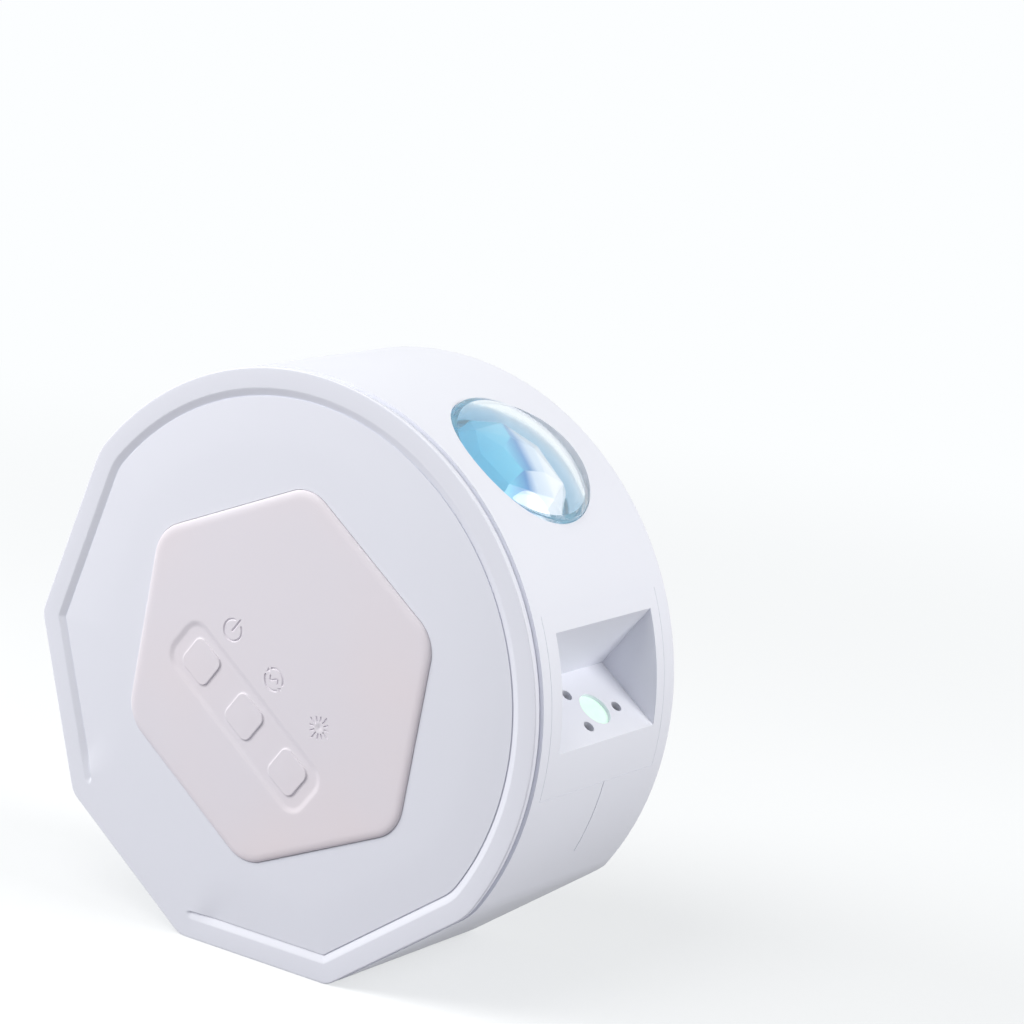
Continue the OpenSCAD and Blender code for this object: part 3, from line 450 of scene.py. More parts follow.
# %% Outlines of the pad and the keys
PAD_APOTHEM = 42.3
PAD_CORNER_R = 10
PAD_CORNER_STEPS, KEY_CORNER_STEPS, RUN_STEPS = 12, 8, 4


def hexagon(grow):
    """The control pad's outline, made larger by an amount."""
    reach = (PAD_APOTHEM - PAD_CORNER_R) / math.cos(math.radians(30))
    radius = PAD_CORNER_R + grow
    corners = [arc(reach * direction(60 * k), radius, 60 * k - 30, 60, PAD_CORNER_STEPS) for k in range(6)]
    return joined(corners, RUN_STEPS)


def rounded_square(width, height, radius, centre):
    across, up = width / 2 - radius, height / 2 - radius
    corners = [(across, up), (-across, up), (-across, -up), (across, -up)]
    shifted = [Vector(centre) + Vector(corner) for corner in corners]
    arcs = [arc(corner, radius, 90 * k, 90, KEY_CORNER_STEPS) for k, corner in enumerate(shifted)]
    return joined(arcs, RUN_STEPS)


print("points in one ring of the pad:", len(hexagon(0)))

# %% [markdown]
# ## A mesh built from rings
# Each moulding is a stack of rings joined by quads, closed at its flat ends by a fill
# that respects holes. A narrow extra ring beside each rim keeps the flat faces flat
# when they are shaded smooth.

# %% A shape made of rings
LENS_MIDDLE_Y = 30.5


def on_face(across, up, level):
    """A point of an outline seen from the front; its level is the depth behind the face."""
    return at(across, level, up)


def round_lens(across, back, level):
    """A point of an outline seen from above the lens; its level is the height."""
    return at(across, LENS_MIDDLE_Y + back, level)


class Shape:
    def __init__(self, place=on_face):
        self.mesh = bmesh.new()
        self.place = place

    def ring(self, outline, level):
        """One ring of an outline, at one level or with a level for each of its points."""
        levels = level if isinstance(level, list) else [level] * len(outline)
        return [self.mesh.verts.new(self.place(*p, each)) for p, each in zip(outline, levels)]

    def join(self, ring_a, ring_b):
        for k in range(len(ring_a)):
            after = (k + 1) % len(ring_a)
            self.mesh.faces.new((ring_a[k], ring_a[after], ring_b[after], ring_b[k]))

    def stack(self, sections):
        """Joins (outline, level) sections one to the next and returns the first and last ring."""
        rings = [self.ring(outline, level) for outline, level in sections]
        for before, after in zip(rings, rings[1:]):
            self.join(before, after)
        return rings[0], rings[-1]

    def fill(self, *rings):
        """A flat face inside the first ring, with the other rings as its holes."""
        edges = []
        for ring in rings:
            edges += [self.mesh.edges.get((ring[k - 1], ring[k])) for k in range(len(ring))]
        bmesh.ops.triangle_fill(self.mesh, use_beauty=True, edges=edges)

    def piece(self, name, finish, body="housing", replaces=None, sharp=40):
        """Turns the shape into an object; edges sharper than an angle stay crisp."""
        bmesh.ops.recalc_face_normals(self.mesh, faces=self.mesh.faces)
        for face in self.mesh.faces:
            face.smooth = True
        for edge in self.mesh.edges:
            edge.smooth = edge.calc_face_angle(0) < math.radians(sharp)
        data = bpy.data.meshes.new(name)
        self.mesh.to_mesh(data)
        self.mesh.free()
        made = bpy.data.objects.new(name, data)
        made.data.materials.append(finish)
        bpy.context.scene.collection.objects.link(made)
        if body:
            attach(made, body)
        if replaces:
            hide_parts(replaces)
        return made


print("shape class ready")

# %% Rounded rims and soft steps
def rounded(outline_of, y, width, height, steps, support=0.4):
    """Sections of a rounded rim: from its side wall over to the face at y."""
    sections = []
    for k in range(steps + 1):
        turn = math.radians(90 * k / steps)
        inset = width * (1 - math.cos(turn))
        sections.append((outline_of(inset), y + height * (1 - math.sin(turn))))
    return sections + [(outline_of(width + support), y)]


def smooth_step(share):
    return share * share * (3 - 2 * share)


print("halfway up a soft step:", smooth_step(0.5))

# %% [markdown]
# ## The front cover
# The face is one moulding: a plate with a groove that follows the outline. Behind its
# narrow edge the side curves inwards up to the drum, where it ends in a soft shadow
# line. The groove is a ramp that falls inwards, bright below, where it looks up, and
# dark above. Its inner wall is low, because the face beside it is dished and rises
# gently to its flat middle. The groove stops with round ends before the bottom flat.
# A few closely spaced rings hold this profile. Where the groove stops, the rings stay
# and only their depth falls to nothing, so no point has to be added or removed.

# %% Where the groove stops
GROOVE_START, GROOVE_W = 4.9, 2.05
GROOVE_STOP = 1.8
END_REACH, END_RAMP, END_DEPTH = 2.2, 1.3, 0.6
DISH_FADE, DISH_FADE_GROWTH = 7.0, 0.9
LEAST_WIDTH = 0.0001
WALL_Z = -(APOTHEM - GROOVE_START - GROOVE_W / 2)
GROOVE_END = Vector((-WALL_Z * math.tan(math.radians(FACET_STEP / 2)), WALL_Z))
GROOVE_OUT = direction(180 + FACET_STEP)


def past_end(point):
    """How far a point lies beyond the place where the groove stops."""
    from_end = Vector((abs(point[0]), point[1])) - GROOVE_END
    return from_end.dot(GROOVE_OUT) + GROOVE_STOP


def dish_share(point, out):
    """1 beside the groove, falling to 0 before its ends, more gently towards the middle."""
    fade = DISH_FADE + DISH_FADE_GROWTH * out
    return smooth_step(min(max(-past_end(point) / fade, 0), 1))


def groove_share(point, inset):
    """1 along the groove, less towards its ends, and falling to 0 over their round tips."""
    beyond = past_end(point)
    if beyond <= 0:
        return END_DEPTH + (1 - END_DEPTH) * dish_share(point, 0)
    across = (inset - GROOVE_START) / GROOVE_W * 2 - 1
    reach = END_REACH * math.sqrt(max(1 - across * across, LEAST_WIDTH))
    return END_DEPTH * smooth_step(min(END_RAMP * max(1 - beyond / reach, 0), 1))


print("the groove stops", round(GROOVE_STOP, 1), "mm before the corner at", GROOVE_END)

# %% The groove's profile
GROOVE_DEPTH, GROOVE_SOFT = 0.85, 0.12
GROOVE_WALL, GROOVE_UNDERCUT = 0.3, 0.15
GROOVE_INNER = GROOVE_START + GROOVE_W
RAMP_STEPS = 8
FOOT_GAP = 0.02
DISH_W, DISH_STEPS = 12.5, 8
DISH_CROWDING, DISH_CURVE = 1.5, 1.3


def ramp_sections():
    """The ramp, from the rim down to the foot of its low inner wall."""
    slope = GROOVE_DEPTH / GROOVE_W
    ramp = [(GROOVE_START - GROOVE_SOFT, 0), (GROOVE_START, GROOVE_SOFT * slope / 4)]
    for k in range(1, RAMP_STEPS + 1):
        inset = GROOVE_START + GROOVE_SOFT + (GROOVE_W - 2 * GROOVE_SOFT) * k / RAMP_STEPS
        ramp.append((inset, (inset - GROOVE_START) * slope))
    sections = []
    for inset, depth in ramp:
        outline = drum_outline(inset)
        sections.append((outline, [depth * groove_share(point, inset) for point in outline]))
    edge, under = drum_outline(GROOVE_INNER), drum_outline(GROOVE_INNER + GROOVE_UNDERCUT)
    shares = [dish_share(point, 0) for point in edge]
    foot = [start.lerp(end, share) for start, end, share in zip(edge, under, shares)]
    return sections + [(foot, [GROOVE_DEPTH * groove_share(point, GROOVE_INNER) for point in edge])]


def dish_sections():
    """The dished face, from the top of the inner wall to the flat middle."""
    sections = []
    for k in range(DISH_STEPS + 1):
        share = (k / DISH_STEPS) ** DISH_CROWDING
        outline = drum_outline(GROOVE_INNER + FOOT_GAP + DISH_W * share)
        depth = (GROOVE_DEPTH - GROOVE_WALL) * (1 - share) ** DISH_CURVE
        sections.append((outline, [depth * dish_share(point, DISH_W * share) for point in outline]))
    return sections


print("rings across the groove and the dish:", len(ramp_sections() + dish_sections()))

# %% The face moulding
RIM_R, RIM_STEPS = 0.3, 6
EDGE_T = 0.5
COVE_END, COVE_DEPTH = 3.08, 1.1
COVE_STEPS, COVE_CURVE = 10, 1.7
COVER_BACK = 3.6
LIP_INSET, LIP_T, LIP_END = 2.65, 1.8, 6.0
SEAT_DEPTH, SEAT_GAP = 1.2, 0.12


def mould_face():
    shape = Shape()
    inner_lip = LIP_INSET + LIP_T
    lip = [(inner_lip, COVER_BACK), (inner_lip, LIP_END), (LIP_INSET, LIP_END), (LIP_INSET, COVE_END)]
    sections = [(drum_outline(inset), y) for inset, y in lip]
    for k in range(COVE_STEPS, -1, -1):
        share = k / COVE_STEPS
        inset = COVE_DEPTH * share ** COVE_CURVE
        sections.append((drum_outline(inset), EDGE_T + (COVE_END - EDGE_T) * share))
    sections += rounded(drum_outline, 0, RIM_R, RIM_R, RIM_STEPS)
    back, front = shape.stack(sections + ramp_sections() + dish_sections())
    shape.fill(back)
    floor_ring, seat_ring = shape.stack([(hexagon(SEAT_GAP), SEAT_DEPTH), (hexagon(SEAT_GAP), 0)])
    shape.fill(front, seat_ring)
    shape.fill(floor_ring)
    return shape.piece("face_moulding", FACE, replaces="front_cover")


face_moulding = mould_face()
print("face moulding:", len(face_moulding.data.polygons), "faces")

# %% [markdown]
# ## The seam round the laser panel
# The panel lies flush in the drum with a hairline gap. Open, such a gap reads as a
# black line, but the real shell has a ledge just below it. The ledge is a thin strip
# that follows the panel's outline a little under the drum's surface.

# %% The ledge under the panel's seam
PANEL_START, PANEL_END = 25.5, 59.5
PANEL_FRONT, PANEL_BACK = 6.5, 55.5
LEDGE_W, LEDGE_T, LEDGE_DEPTH = 0.3, 0.2, 0.1
LEDGE_STEPS = 40


def on_drum(along, back, depth):
    """A point by its way round the drum, its distance from the face and its depth."""
    turn = along / DRUM_R
    reach = DRUM_R - depth
    return at(reach * math.cos(turn), back, reach * math.sin(turn))


def panel_outline(grow):
    start, end = (DRUM_R * math.radians(turn) for turn in (PANEL_START, PANEL_END))
    corners = [(start - grow, PANEL_FRONT - grow), (end + grow, PANEL_FRONT - grow),
               (end + grow, PANEL_BACK + grow), (start - grow, PANEL_BACK + grow)]
    return joined([[Vector(corner)] for corner in corners], LEDGE_STEPS)


def seam_ledge():
    shape = Shape(on_drum)
    outer, inner = panel_outline(LEDGE_W / 2), panel_outline(-LEDGE_W / 2)
    first, last = shape.stack([(outer, LEDGE_DEPTH), (inner, LEDGE_DEPTH),
                               (inner, LEDGE_DEPTH + LEDGE_T), (outer, LEDGE_DEPTH + LEDGE_T)])
    shape.join(last, first)
    return shape.piece("seam_ledge", SHELL)


ledge = seam_ledge()
print("seam ledge:", len(ledge.data.polygons), "faces")

# %% [markdown]
# ## The three signs
# The signs are engraved in the pad. A stroke is the outline of a band round a path,
# and the same band at a fifth of its width, a little deeper, is its floor. The pad's
# flat top is filled with the strokes as holes, so strokes may not touch each other.
# The signs are a broken ring with a bar for power, two arrows that chase each other
# for the mode, and a small sun for the light.

# %% Strokes of the signs
SIGN_W, WAVE_W, RAY_W = 0.68, 0.5, 0.42
SIGN_DEPTH = 0.3
FLOOR_SHARE = 0.2
STROKE_END_STEPS = 6


def band(path, width):
    """The outline of a stroke with round ends along a path of (x, z) points."""
    left, right = [], []
    for k, point in enumerate(path):
        along = (path[min(k + 1, len(path) - 1)] - path[max(k - 1, 0)]).normalized()
        side = Vector((-along.y, along.x)) * width / 2
        left.append(point + side)
        right.append(point - side)
    first, last = path[1] - path[0], path[-1] - path[-2]
    last_turn = math.degrees(math.atan2(last.y, last.x)) + 90
    first_turn = math.degrees(math.atan2(first.y, first.x)) - 90
    end = arc(path[-1], width / 2, last_turn, -180, STROKE_END_STEPS)
    start = arc(path[0], width / 2, first_turn, -180, STROKE_END_STEPS)
    return left[1:-1] + end + right[-2:0:-1] + start


def stroke(path, width=SIGN_W):
    """The mouth and the floor of one engraved stroke."""
    return band(path, width), band(path, width * FLOOR_SHARE)


def line(start, end):
    return [Vector(start), Vector(end)]


print("points round a short stroke:", len(band(line((0, 0), (1, 0)), SIGN_W)))

# %% The signs for power, mode and light
POWER_AT, MODE_AT, LIGHT_AT = Vector((-16.5, -0.9)), Vector((0, -0.35)), Vector((16.8, 1.4))
POWER_R, POWER_OPENING, POWER_BAR = 2.7, 56, (-0.2, 3.5)
MODE_R, MODE_TURN, ARROW_LEAD, ARROW_R = 2.75, 126, 23, 0.75
WAVE_REACH, WAVE_RISE, WAVE_STEPS = 1.4, 0.75, 12
SUN_W, RAYS, RAY_START, LONG_RAY, SHORT_RAY = 1.7, 12, 1.6, 3.3, 2.75


def power_sign():
    ring = arc(POWER_AT, POWER_R, 90 + POWER_OPENING // 2, 360 - POWER_OPENING, 36)
    low, high = (POWER_AT + Vector((0, z)) for z in POWER_BAR)
    return [stroke(ring), stroke(line(low, high))]


def arrow(middle, turn):
    """The mouth and the floor of an arrow's head, which is a triangle."""
    return arc(middle, ARROW_R, turn, 240, 2), arc(middle, ARROW_R * FLOOR_SHARE, turn, 240, 2)


def mode_sign():
    strokes = []
    for start in (20, 200):
        strokes.append(stroke(arc(MODE_AT, MODE_R, start, MODE_TURN, 20)))
        tip = start + MODE_TURN + ARROW_LEAD
        strokes.append(arrow(MODE_AT + MODE_R * direction(tip), tip + 90))
    wave = []
    for k in range(-WAVE_STEPS, WAVE_STEPS + 1):
        rise = WAVE_RISE * math.sin(math.pi * k / WAVE_STEPS)
        wave.append(MODE_AT + Vector((WAVE_REACH * k / WAVE_STEPS, rise)))
    return strokes + [stroke(wave, WAVE_W)]


def light_sign():
    strokes = [stroke(line(LIGHT_AT, LIGHT_AT + Vector((0.01, 0))), SUN_W)]
    for k in range(RAYS):
        ray = direction(360 / RAYS * k)
        reach = LONG_RAY if k % 3 == 0 else SHORT_RAY
        strokes.append(stroke(line(LIGHT_AT + RAY_START * ray, LIGHT_AT + reach * ray), RAY_W))
    return strokes


SIGNS = power_sign() + mode_sign() + light_sign()
print("strokes of the signs:", len(SIGNS))

# %% [markdown]
# ## The silicone pad and its keys
# Pad and keys are moulded in one sheet of silicone, so no gap shows round a key: a
# thin web joins each key to the floor of a shallow channel. The pad rides on the
# housing and each key on its own body. The web between them is a separate piece,
# attached to neither body.

# %% Outlines of the channel and the keys
BUTTONS = {"power": -1, "mode": 0, "light": 1}
BUTTON_PITCH = 17.8
BUTTON_Z = -14.2
BUTTON_W, BUTTON_R, LEAST_BUTTON_R = 9.5, 2.2, 0.3
CHANNEL_W, CHANNEL_H, CHANNEL_R = 54.6, 16.2, 5.2


def key_middle(button):
    return BUTTONS[button] * BUTTON_PITCH, BUTTON_Z


def key_outline(grow, button):
    width = BUTTON_W + 2 * grow
    return rounded_square(width, width, BUTTON_R + max(grow, -BUTTON_R + LEAST_BUTTON_R), key_middle(button))


def channel_outline(inset):
    width, height = CHANNEL_W - 2 * inset, CHANNEL_H - 2 * inset
    return rounded_square(width, height, CHANNEL_R - inset, (0, BUTTON_Z))


print("keys are", BUTTON_W, "mm wide at a pitch of", BUTTON_PITCH, "mm")

# %% The pad with its channel and signs
PAD_TOP = -0.8
PAD_BACK = SEAT_DEPTH - 0.05
PAD_ROUND_W, PAD_ROUND_H, PAD_ROUND_STEPS = 2.2, 0.75, 8
CHANNEL_FLOOR, CHANNEL_SLOPE, CHANNEL_STEPS = -0.42, 1.9, 10
MOUTH_SUPPORT, FLOOR_SUPPORT = 0.5, 0.3
WEB_W, WEB_SUPPORT = 0.5, 0.2


def channel_sections():
    sections = [(channel_outline(-MOUTH_SUPPORT), PAD_TOP)]
    for k in range(CHANNEL_STEPS + 1):
        level = PAD_TOP + (CHANNEL_FLOOR - PAD_TOP) * smooth_step(k / CHANNEL_STEPS)
        sections.append((channel_outline(CHANNEL_SLOPE * k / CHANNEL_STEPS), level))
    return sections + [(channel_outline(CHANNEL_SLOPE + FLOOR_SUPPORT), CHANNEL_FLOOR)]


def key_hole(button):
    edge = key_outline(WEB_W, button)
    around = key_outline(WEB_W + WEB_SUPPORT, button)
    return [(around, CHANNEL_FLOOR), (edge, CHANNEL_FLOOR), (edge, PAD_BACK)]


def mould_pad():
    shape = Shape()
    rim = rounded(lambda inset: hexagon(-inset), PAD_TOP, PAD_ROUND_W, PAD_ROUND_H, PAD_ROUND_STEPS)
    back, top = shape.stack([(hexagon(0), PAD_BACK)] + rim)
    mouth, channel_floor = shape.stack(channel_sections())
    sign_rings = []
    for sign_mouth, sign_floor in SIGNS:
        first, last = shape.stack([(sign_mouth, PAD_TOP), (sign_floor, PAD_TOP + SIGN_DEPTH)])
        shape.fill(last)
        sign_rings.append(first)
    shape.fill(top, mouth, *sign_rings)
    front_rings, back_rings = zip(*[shape.stack(key_hole(button)) for button in BUTTONS])
    shape.fill(channel_floor, *front_rings)
    shape.fill(back, *back_rings)
    return shape.piece("silicone_pad", SILICONE, replaces="control_pad")


silicone_pad = mould_pad()
print("silicone pad:", len(silicone_pad.data.polygons), "faces")

# %% The keys
KEY_TOP, KEY_BACK = -0.8, 1.5
KEY_ROUND, KEY_ROUND_STEPS, KEY_SUPPORT = 0.28, 6, 0.3
KEY_CROWN, CROWN_SHARES, CROWN_R = 0.05, (0.4, 0.75), 1.0
FLANGE_T, FLANGE_GROW = 0.5, 1.1
STEM_R, STEM_END = 2.4, 3.8


def key(button):
    shape = Shape()
    centre = key_middle(button)
    stem = rounded_square(2 * STEM_R, 2 * STEM_R, STEM_R, centre)
    flange = key_outline(FLANGE_GROW, button)
    sections = [(stem, STEM_END), (stem, KEY_BACK + FLANGE_T), (flange, KEY_BACK + FLANGE_T),
                (flange, KEY_BACK), (key_outline(0, button), KEY_BACK)]
    sections += rounded(lambda inset: key_outline(-inset, button), KEY_TOP,
                        KEY_ROUND, KEY_ROUND, KEY_ROUND_STEPS, KEY_SUPPORT)
    for share in CROWN_SHARES:
        width = BUTTON_W * (1 - share)
        level = KEY_TOP - KEY_CROWN * smooth_step(share)
        sections.append((rounded_square(width, width, CROWN_R, centre), level))
    back, crown = shape.stack(sections)
    shape.fill(back)
    shape.fill(crown)
    return shape.piece("key_cap_" + button, SILICONE, "key_" + button, "button_" + button)


key_caps = [key(button) for button in BUTTONS]
print("keys:", [cap.name for cap in key_caps])

# %% The webs between the keys and the pad
WEB_T, WEB_STEPS = 0.25, 6
WEB_RISE, WEB_CURVE, WEB_OVERLAP = 0.1, 2.2, 0.03


def web(button):
    shape = Shape()
    sections = []
    for k in range(WEB_STEPS + 1):
        share = k / WEB_STEPS
        outline = key_outline(WEB_W * (1 - share) - WEB_OVERLAP * share, button)
        sections.append((outline, CHANNEL_FLOOR - WEB_RISE * share ** WEB_CURVE))
    back = [(outline, y + WEB_T) for outline, y in sections]
    first, last = shape.stack(sections + back[::-1])
    shape.join(last, first)
    made = shape.piece("key_web_" + button, SILICONE, body=None)
    x, z = key_middle(button)
    at(x, CHANNEL_FLOOR, z)
    at(x, CHANNEL_FLOOR - WEB_RISE, z)
    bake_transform(made)
    return made


key_webs = [web(button) for button in BUTTONS]
print("webs:", [made.name for made in key_webs])

# %% [markdown]
# ## The lens and the cut plate under it
# The lens is a hollow clear dome. Under it stands a plate of acrylic whose top is cut
# like a gem. The lamp's blue light in it is painted: the plate has a painted glow, and
# what shows through the dome is a handful of flat facets in blue, pale blue and near
# white. The gem is the convex hull of a few rings of points. Its colour is painted
# light: deep blue at the front rim and whiter towards the beam, and each facet's tone
# is shifted by its direction, as painted shade.

# %% A finish with painted light for the cut plate
BARREL_TOP = 64.6
GEM_MIDDLE = at(0, LENS_MIDDLE_Y, BARREL_TOP + 4)
GEM_SPREAD = 30 * MM
BEAM_SIDE, SHADED_SIDE = heading(0.35, 0.9, 0.3), heading(-0.75, -0.55, 0.35)
SHADE_SHARE, TONE_SHIFT = 0.5, 0.08
PAINTED_GEM_GLOW = 0.1
# Painted light: these tones run from deep blue to near white towards the beam.
PAINTED_GEM_TONES = [
    (0.0, linear(98, 176, 208)), (0.3, linear(116, 190, 216)), (0.45, linear(88, 136, 188)),
    (0.54, linear(204, 210, 222)), (0.8, linear(244, 236, 236)),
]


def facets_with_painted_light(name):
    finish = Finish(name)
    place = finish.reach(GEM_MIDDLE, BEAM_SIDE) * (1 / GEM_SPREAD) + 0.5
    normal = finish.add("ShaderNodeNewGeometry", {}, {}, "True Normal")
    # Painted shade: a facet's tone shifts by how much it faces the shaded side.
    tone = place - finish.along(normal, SHADED_SIDE) * SHADE_SHARE + TONE_SHIFT
    colour = finish.add("ShaderNodeValToRGB", {"stops": PAINTED_GEM_TONES}, {"Fac": tone}, "Color")
    # The emission is a painted glow in the same tones.
    finish.set(Base_Color=colour, Emission_Color=colour, Emission_Strength=PAINTED_GEM_GLOW)
    finish.set(Roughness=finish.noise(scale=90) * 0.1 + 0.12, IOR=ACRYLIC_IOR)
    return finish.material


GEM_FINISH = facets_with_painted_light("cut_plate_painted_light_finish")
print("glowing finish:", GEM_FINISH.name)

# %% The cut plate
PLATE_R, PLATE_T, PLATE_BEVEL = 20.05, 2.5, 0.2
GEM_RINGS = [(17.3, 11, 0.0, 0), (16.6, 9, 4.4, 14), (13.0, 7, 7.6, 40), (6.5, 5, 9.2, 10)]
GEM_JITTER, GEM_TURN_JITTER = 1.0, 0.4
GEM_SINK = 0.02
GEM_SEED = 7
CIRCLE_STEPS = 96


def circle(radius):
    return arc((0, 0), radius, 0, 360 * (CIRCLE_STEPS - 1) / CIRCLE_STEPS, CIRCLE_STEPS - 1)


def cut_gem():
    draw = random.Random(GEM_SEED)
    shape = Shape(round_lens)
    low, high = shape.stack([(circle(PLATE_R), BARREL_TOP - PLATE_T),
                             (circle(PLATE_R), BARREL_TOP - PLATE_BEVEL),
                             (circle(PLATE_R - PLATE_BEVEL), BARREL_TOP)])
    shape.fill(low)
    shape.fill(high)
    gem = []
    for radius, sides, height, turn in GEM_RINGS:
        for k in range(sides):
            reach = radius - GEM_JITTER * draw.random()
            spot = reach * direction(turn + 360 * (k + GEM_TURN_JITTER * draw.random()) / sides)
            gem.append(shape.mesh.verts.new(round_lens(*spot, BARREL_TOP + height - GEM_SINK)))
    hull = bmesh.ops.convex_hull(shape.mesh, input=gem)
    spare = [v for v in hull["geom_interior"] if isinstance(v, bmesh.types.BMVert)]
    bmesh.ops.delete(shape.mesh, geom=spare, context="VERTS")
    return shape.piece("cut_plate", GEM_FINISH, replaces="pattern_plate", sharp=1)


cut_plate = cut_gem()
print("cut plate:", len(cut_plate.data.polygons), "faces")

# %% [markdown]
# ## The clear dome
# Clear acrylic carries light inside itself and gives it off at its edges, as the rim
# of a clear sheet does. Here that light is a painted glow: the dome's side wall is
# painted to glow blue, and its crown only a little. The dome is one closed shape: over
# the crown, down the wall, round the flange that holds it in the drum, and back up
# inside.

# %% A finish with a painted glow in the wall
# Painted glow: blue in the side wall, dim in the crown.
WALL_GLOW, CROWN_GLOW = linear(150, 204, 230), linear(84, 98, 104)
WALL_GLOW_END, WALL_GLOW_FADE = 7.5, 5.0
PAINTED_DOME_GLOW = 0.12


def acrylic_with_painted_glow(name):
    finish = Finish(name)
    height = finish.reach(at(0, LENS_MIDDLE_Y, BARREL_TOP), LENS_AXIS)
    crown = height.above(WALL_GLOW_END * MM, WALL_GLOW_FADE * MM)
    finish.set(Base_Color=rgba(linear(245, 251, 254)))
    finish.set(Roughness=finish.noise(scale=80, detail=3) * 0.03 + 0.02)
    # The emission is the painted glow.
    finish.set(Emission_Color=finish.blend(crown, WALL_GLOW, CROWN_GLOW), Emission_Strength=PAINTED_DOME_GLOW)
    finish.set(IOR=ACRYLIC_IOR, Transmission_Weight=1.0)
    return finish.material


DOME_FINISH = acrylic_with_painted_glow("lens_acrylic_painted_glow_finish")
print("dome finish:", DOME_FINISH.name)

# %% The dome itself
LENS_R, LENS_WALL = 19.7, 2.2
LENS_EDGE, LENS_TOP = 73.5, 79.5
LENS_FLANGE_R, LENS_FLANGE_T = 22.8, 2.2
CROWN_INSET, CROWN_RISE = 0.3, 0.2
LENS_RIM = [(0.08, 0.0), (0.0, -0.3)]
DOME_STEPS = 18
FIRST_STEP = 0.3


def dome(radius, edge, crown):
    """Sections of a domed top, from near its middle out to its edge."""
    height = crown - edge
    sphere = (radius ** 2 + height ** 2) / (2 * height)
    reach = [radius * (k + FIRST_STEP) / (DOME_STEPS + FIRST_STEP) for k in range(DOME_STEPS + 1)]
    return [(circle(out), crown - sphere + math.sqrt(sphere ** 2 - out ** 2)) for out in reach]


def form_dome():
    shape = Shape(round_lens)
    inner_r = LENS_R - LENS_WALL
    flange_top = BARREL_TOP + LENS_FLANGE_T
    sections = dome(LENS_R - CROWN_INSET, LENS_EDGE + CROWN_RISE, LENS_TOP)
    sections += [(circle(LENS_R - inset), LENS_EDGE + rise) for inset, rise in LENS_RIM]
    sections += [(circle(LENS_R), flange_top), (circle(LENS_FLANGE_R), flange_top),
                 (circle(LENS_FLANGE_R), BARREL_TOP), (circle(inner_r), BARREL_TOP)]
    sections += dome(inner_r, LENS_EDGE - LENS_WALL / 2, LENS_TOP - LENS_WALL)[::-1]
    crown, ceiling = shape.stack(sections)
    shape.fill(crown)
    shape.fill(ceiling)
    return shape.piece("lens_dome", DOME_FINISH, replaces="projector_lens")


lens_dome = form_dome()
print("lens dome:", len(lens_dome.data.polygons), "faces")

# %% [markdown]
# ## Stage, light and camera
# A pale floor carries the object's soft shadow and fades into the white beyond it.
# To the eye, also in glass and gloss, the floor and the sky are near white, but they
# light the object far less than white ones would, so its own whites keep their tone.
# Three broad round lamps light it: one in front on the left for the face, one on the
# right for the drum's side, and a weak one overhead.

# %% Floor
WHITE = linear(252, 254, 255)
FLOOR_SIZE = 8
FLOOR_FADE_START, FLOOR_FADE_END = 0.25, 0.75
FLOOR_SEEN, FLOOR_UNSEEN = linear(250, 252, 254), linear(150, 150, 156)
FLOOR_HAZE = 0.6


def seen_directly(wiring):
    """1 for what the eye sees, also in glass and gloss, and 0 for what only lights."""
    seen = wiring.add("ShaderNodeLightPath", {}, {}, "Is Camera Ray")
    for kind in ("Is Glossy Ray", "Is Transmission Ray"):
        seen = seen.maths("MAXIMUM", seen, wiring.add("ShaderNodeLightPath", {}, {}, kind))
    return seen


def pale_floor():
    finish = Finish("floor_finish")
    far = finish.add("ShaderNodeVectorMath", {"operation": "LENGTH"}, {0: finish.place()}, "Value")
    fade = far.above((FLOOR_FADE_START + FLOOR_FADE_END) / 2, FLOOR_FADE_END - FLOOR_FADE_START)
    seen = seen_directly(finish)
    finish.set(Base_Color=finish.blend(seen, FLOOR_UNSEEN, FLOOR_SEEN))
    finish.set(Roughness=0.9, Specular_IOR_Level=0.1)
    haze = fade * (1 - FLOOR_HAZE) + FLOOR_HAZE
    white = finish.add("ShaderNodeEmission", {}, {"Color": rgba(WHITE)})
    matte = Value(finish, finish.shader.outputs[0])
    mixed = finish.add("ShaderNodeMixShader", {}, {0: haze * seen, 1: matte, 2: white})
    finish.put(finish.output.inputs["Surface"], mixed)
    return finish.material


bpy.ops.mesh.primitive_plane_add(size=FLOOR_SIZE)
floor = bpy.context.object
floor.name = "floor"
floor.data.materials.append(pale_floor())
print("floor fades from", FLOOR_FADE_START, "to", FLOOR_FADE_END, "m")

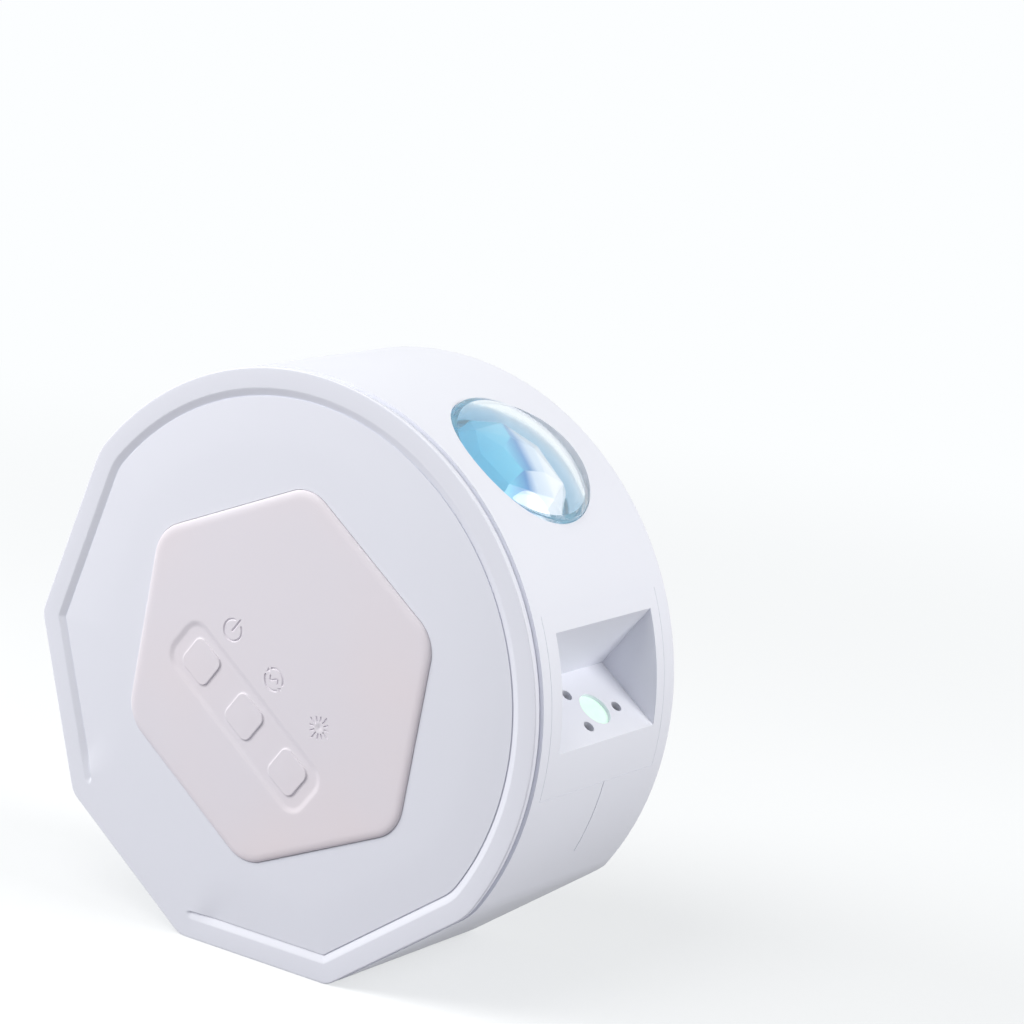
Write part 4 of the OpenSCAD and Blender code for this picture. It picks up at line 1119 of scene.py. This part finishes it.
# %% White surroundings
TENT_STRENGTH = 0.25
world = bpy.data.worlds.new("light_tent")
bpy.context.scene.world = world
world.use_nodes = True
tent = Wiring(world.node_tree)
tent_light = tent.nodes["Background"]
tent.put(tent_light.inputs["Color"], rgba(linear(250, 251, 253)))
tent.put(tent_light.inputs["Strength"], TENT_STRENGTH)
lighting = Value(tent, tent_light.outputs[0])
backdrop = tent.add("ShaderNodeBackground", {}, {"Color": rgba(WHITE)})
choice = tent.add("ShaderNodeMixShader", {}, {0: seen_directly(tent), 1: lighting, 2: backdrop})
tent.put(tent.nodes["World Output"].inputs["Surface"], choice)
print("world strength for the object:", TENT_STRENGTH)

# %% Lamps
MIDDLE = Vector((0, 0, APOTHEM * MM))
LAMPS = {
    "left_lamp": ((-0.9, -0.7, 0.7), 0.8, 14.5, (1, 0.99, 0.97)),
    "right_lamp": ((1.1, 0.24, 0.6), 0.8, 10.4, (1, 0.99, 0.97)),
    "overhead_lamp": ((0, -0.45, 0.75), 0.5, 2.2, (1, 0.99, 0.96)),
}


def lamp(name, place, size, watts, colour):
    """A round lamp that looks at the drum's middle."""
    light = bpy.data.lights.new(name, "AREA")
    light.shape = "DISK"
    light.size = size
    light.energy = watts
    light.color = colour
    lamp_object = bpy.data.objects.new(name, light)
    lamp_object.location = place
    lamp_object.rotation_euler = (MIDDLE - Vector(place)).to_track_quat("-Z", "Y").to_euler()
    bpy.context.scene.collection.objects.link(lamp_object)


for name, settings in LAMPS.items():
    lamp(name, *settings)
print("lamps:", list(LAMPS))

# %% Camera
CAMERA_PLACE = Vector((0.49522, -0.69107, 0.29662))
CAMERA_DIRECTION = Vector((-0.53550, 0.81815, -0.20944))
CAMERA_ROLL = math.radians(-5.91)
CAMERA_LENS, CAMERA_SENSOR = 124.9, 36
CAMERA_SHIFT = (-0.0031, -0.0087)
camera_data = bpy.data.cameras.new("camera")
camera = bpy.data.objects.new("camera", camera_data)
bpy.context.scene.collection.objects.link(camera)
camera.location = CAMERA_PLACE
camera.rotation_mode = "QUATERNION"
roll = Matrix.Rotation(-CAMERA_ROLL, 3, "Z").to_quaternion()
camera.rotation_quaternion = CAMERA_DIRECTION.to_track_quat("-Z", "Y") @ roll
camera_data.lens = CAMERA_LENS
camera_data.sensor_width = CAMERA_SENSOR
camera_data.shift_x, camera_data.shift_y = CAMERA_SHIFT
bpy.context.scene.camera = camera
bpy.context.scene.view_settings.view_transform = "Standard"
print("camera", [round(v, 3) for v in CAMERA_PLACE], "lens", CAMERA_LENS, "mm")

# %% Bring the scene up to date
bpy.context.view_layer.update()
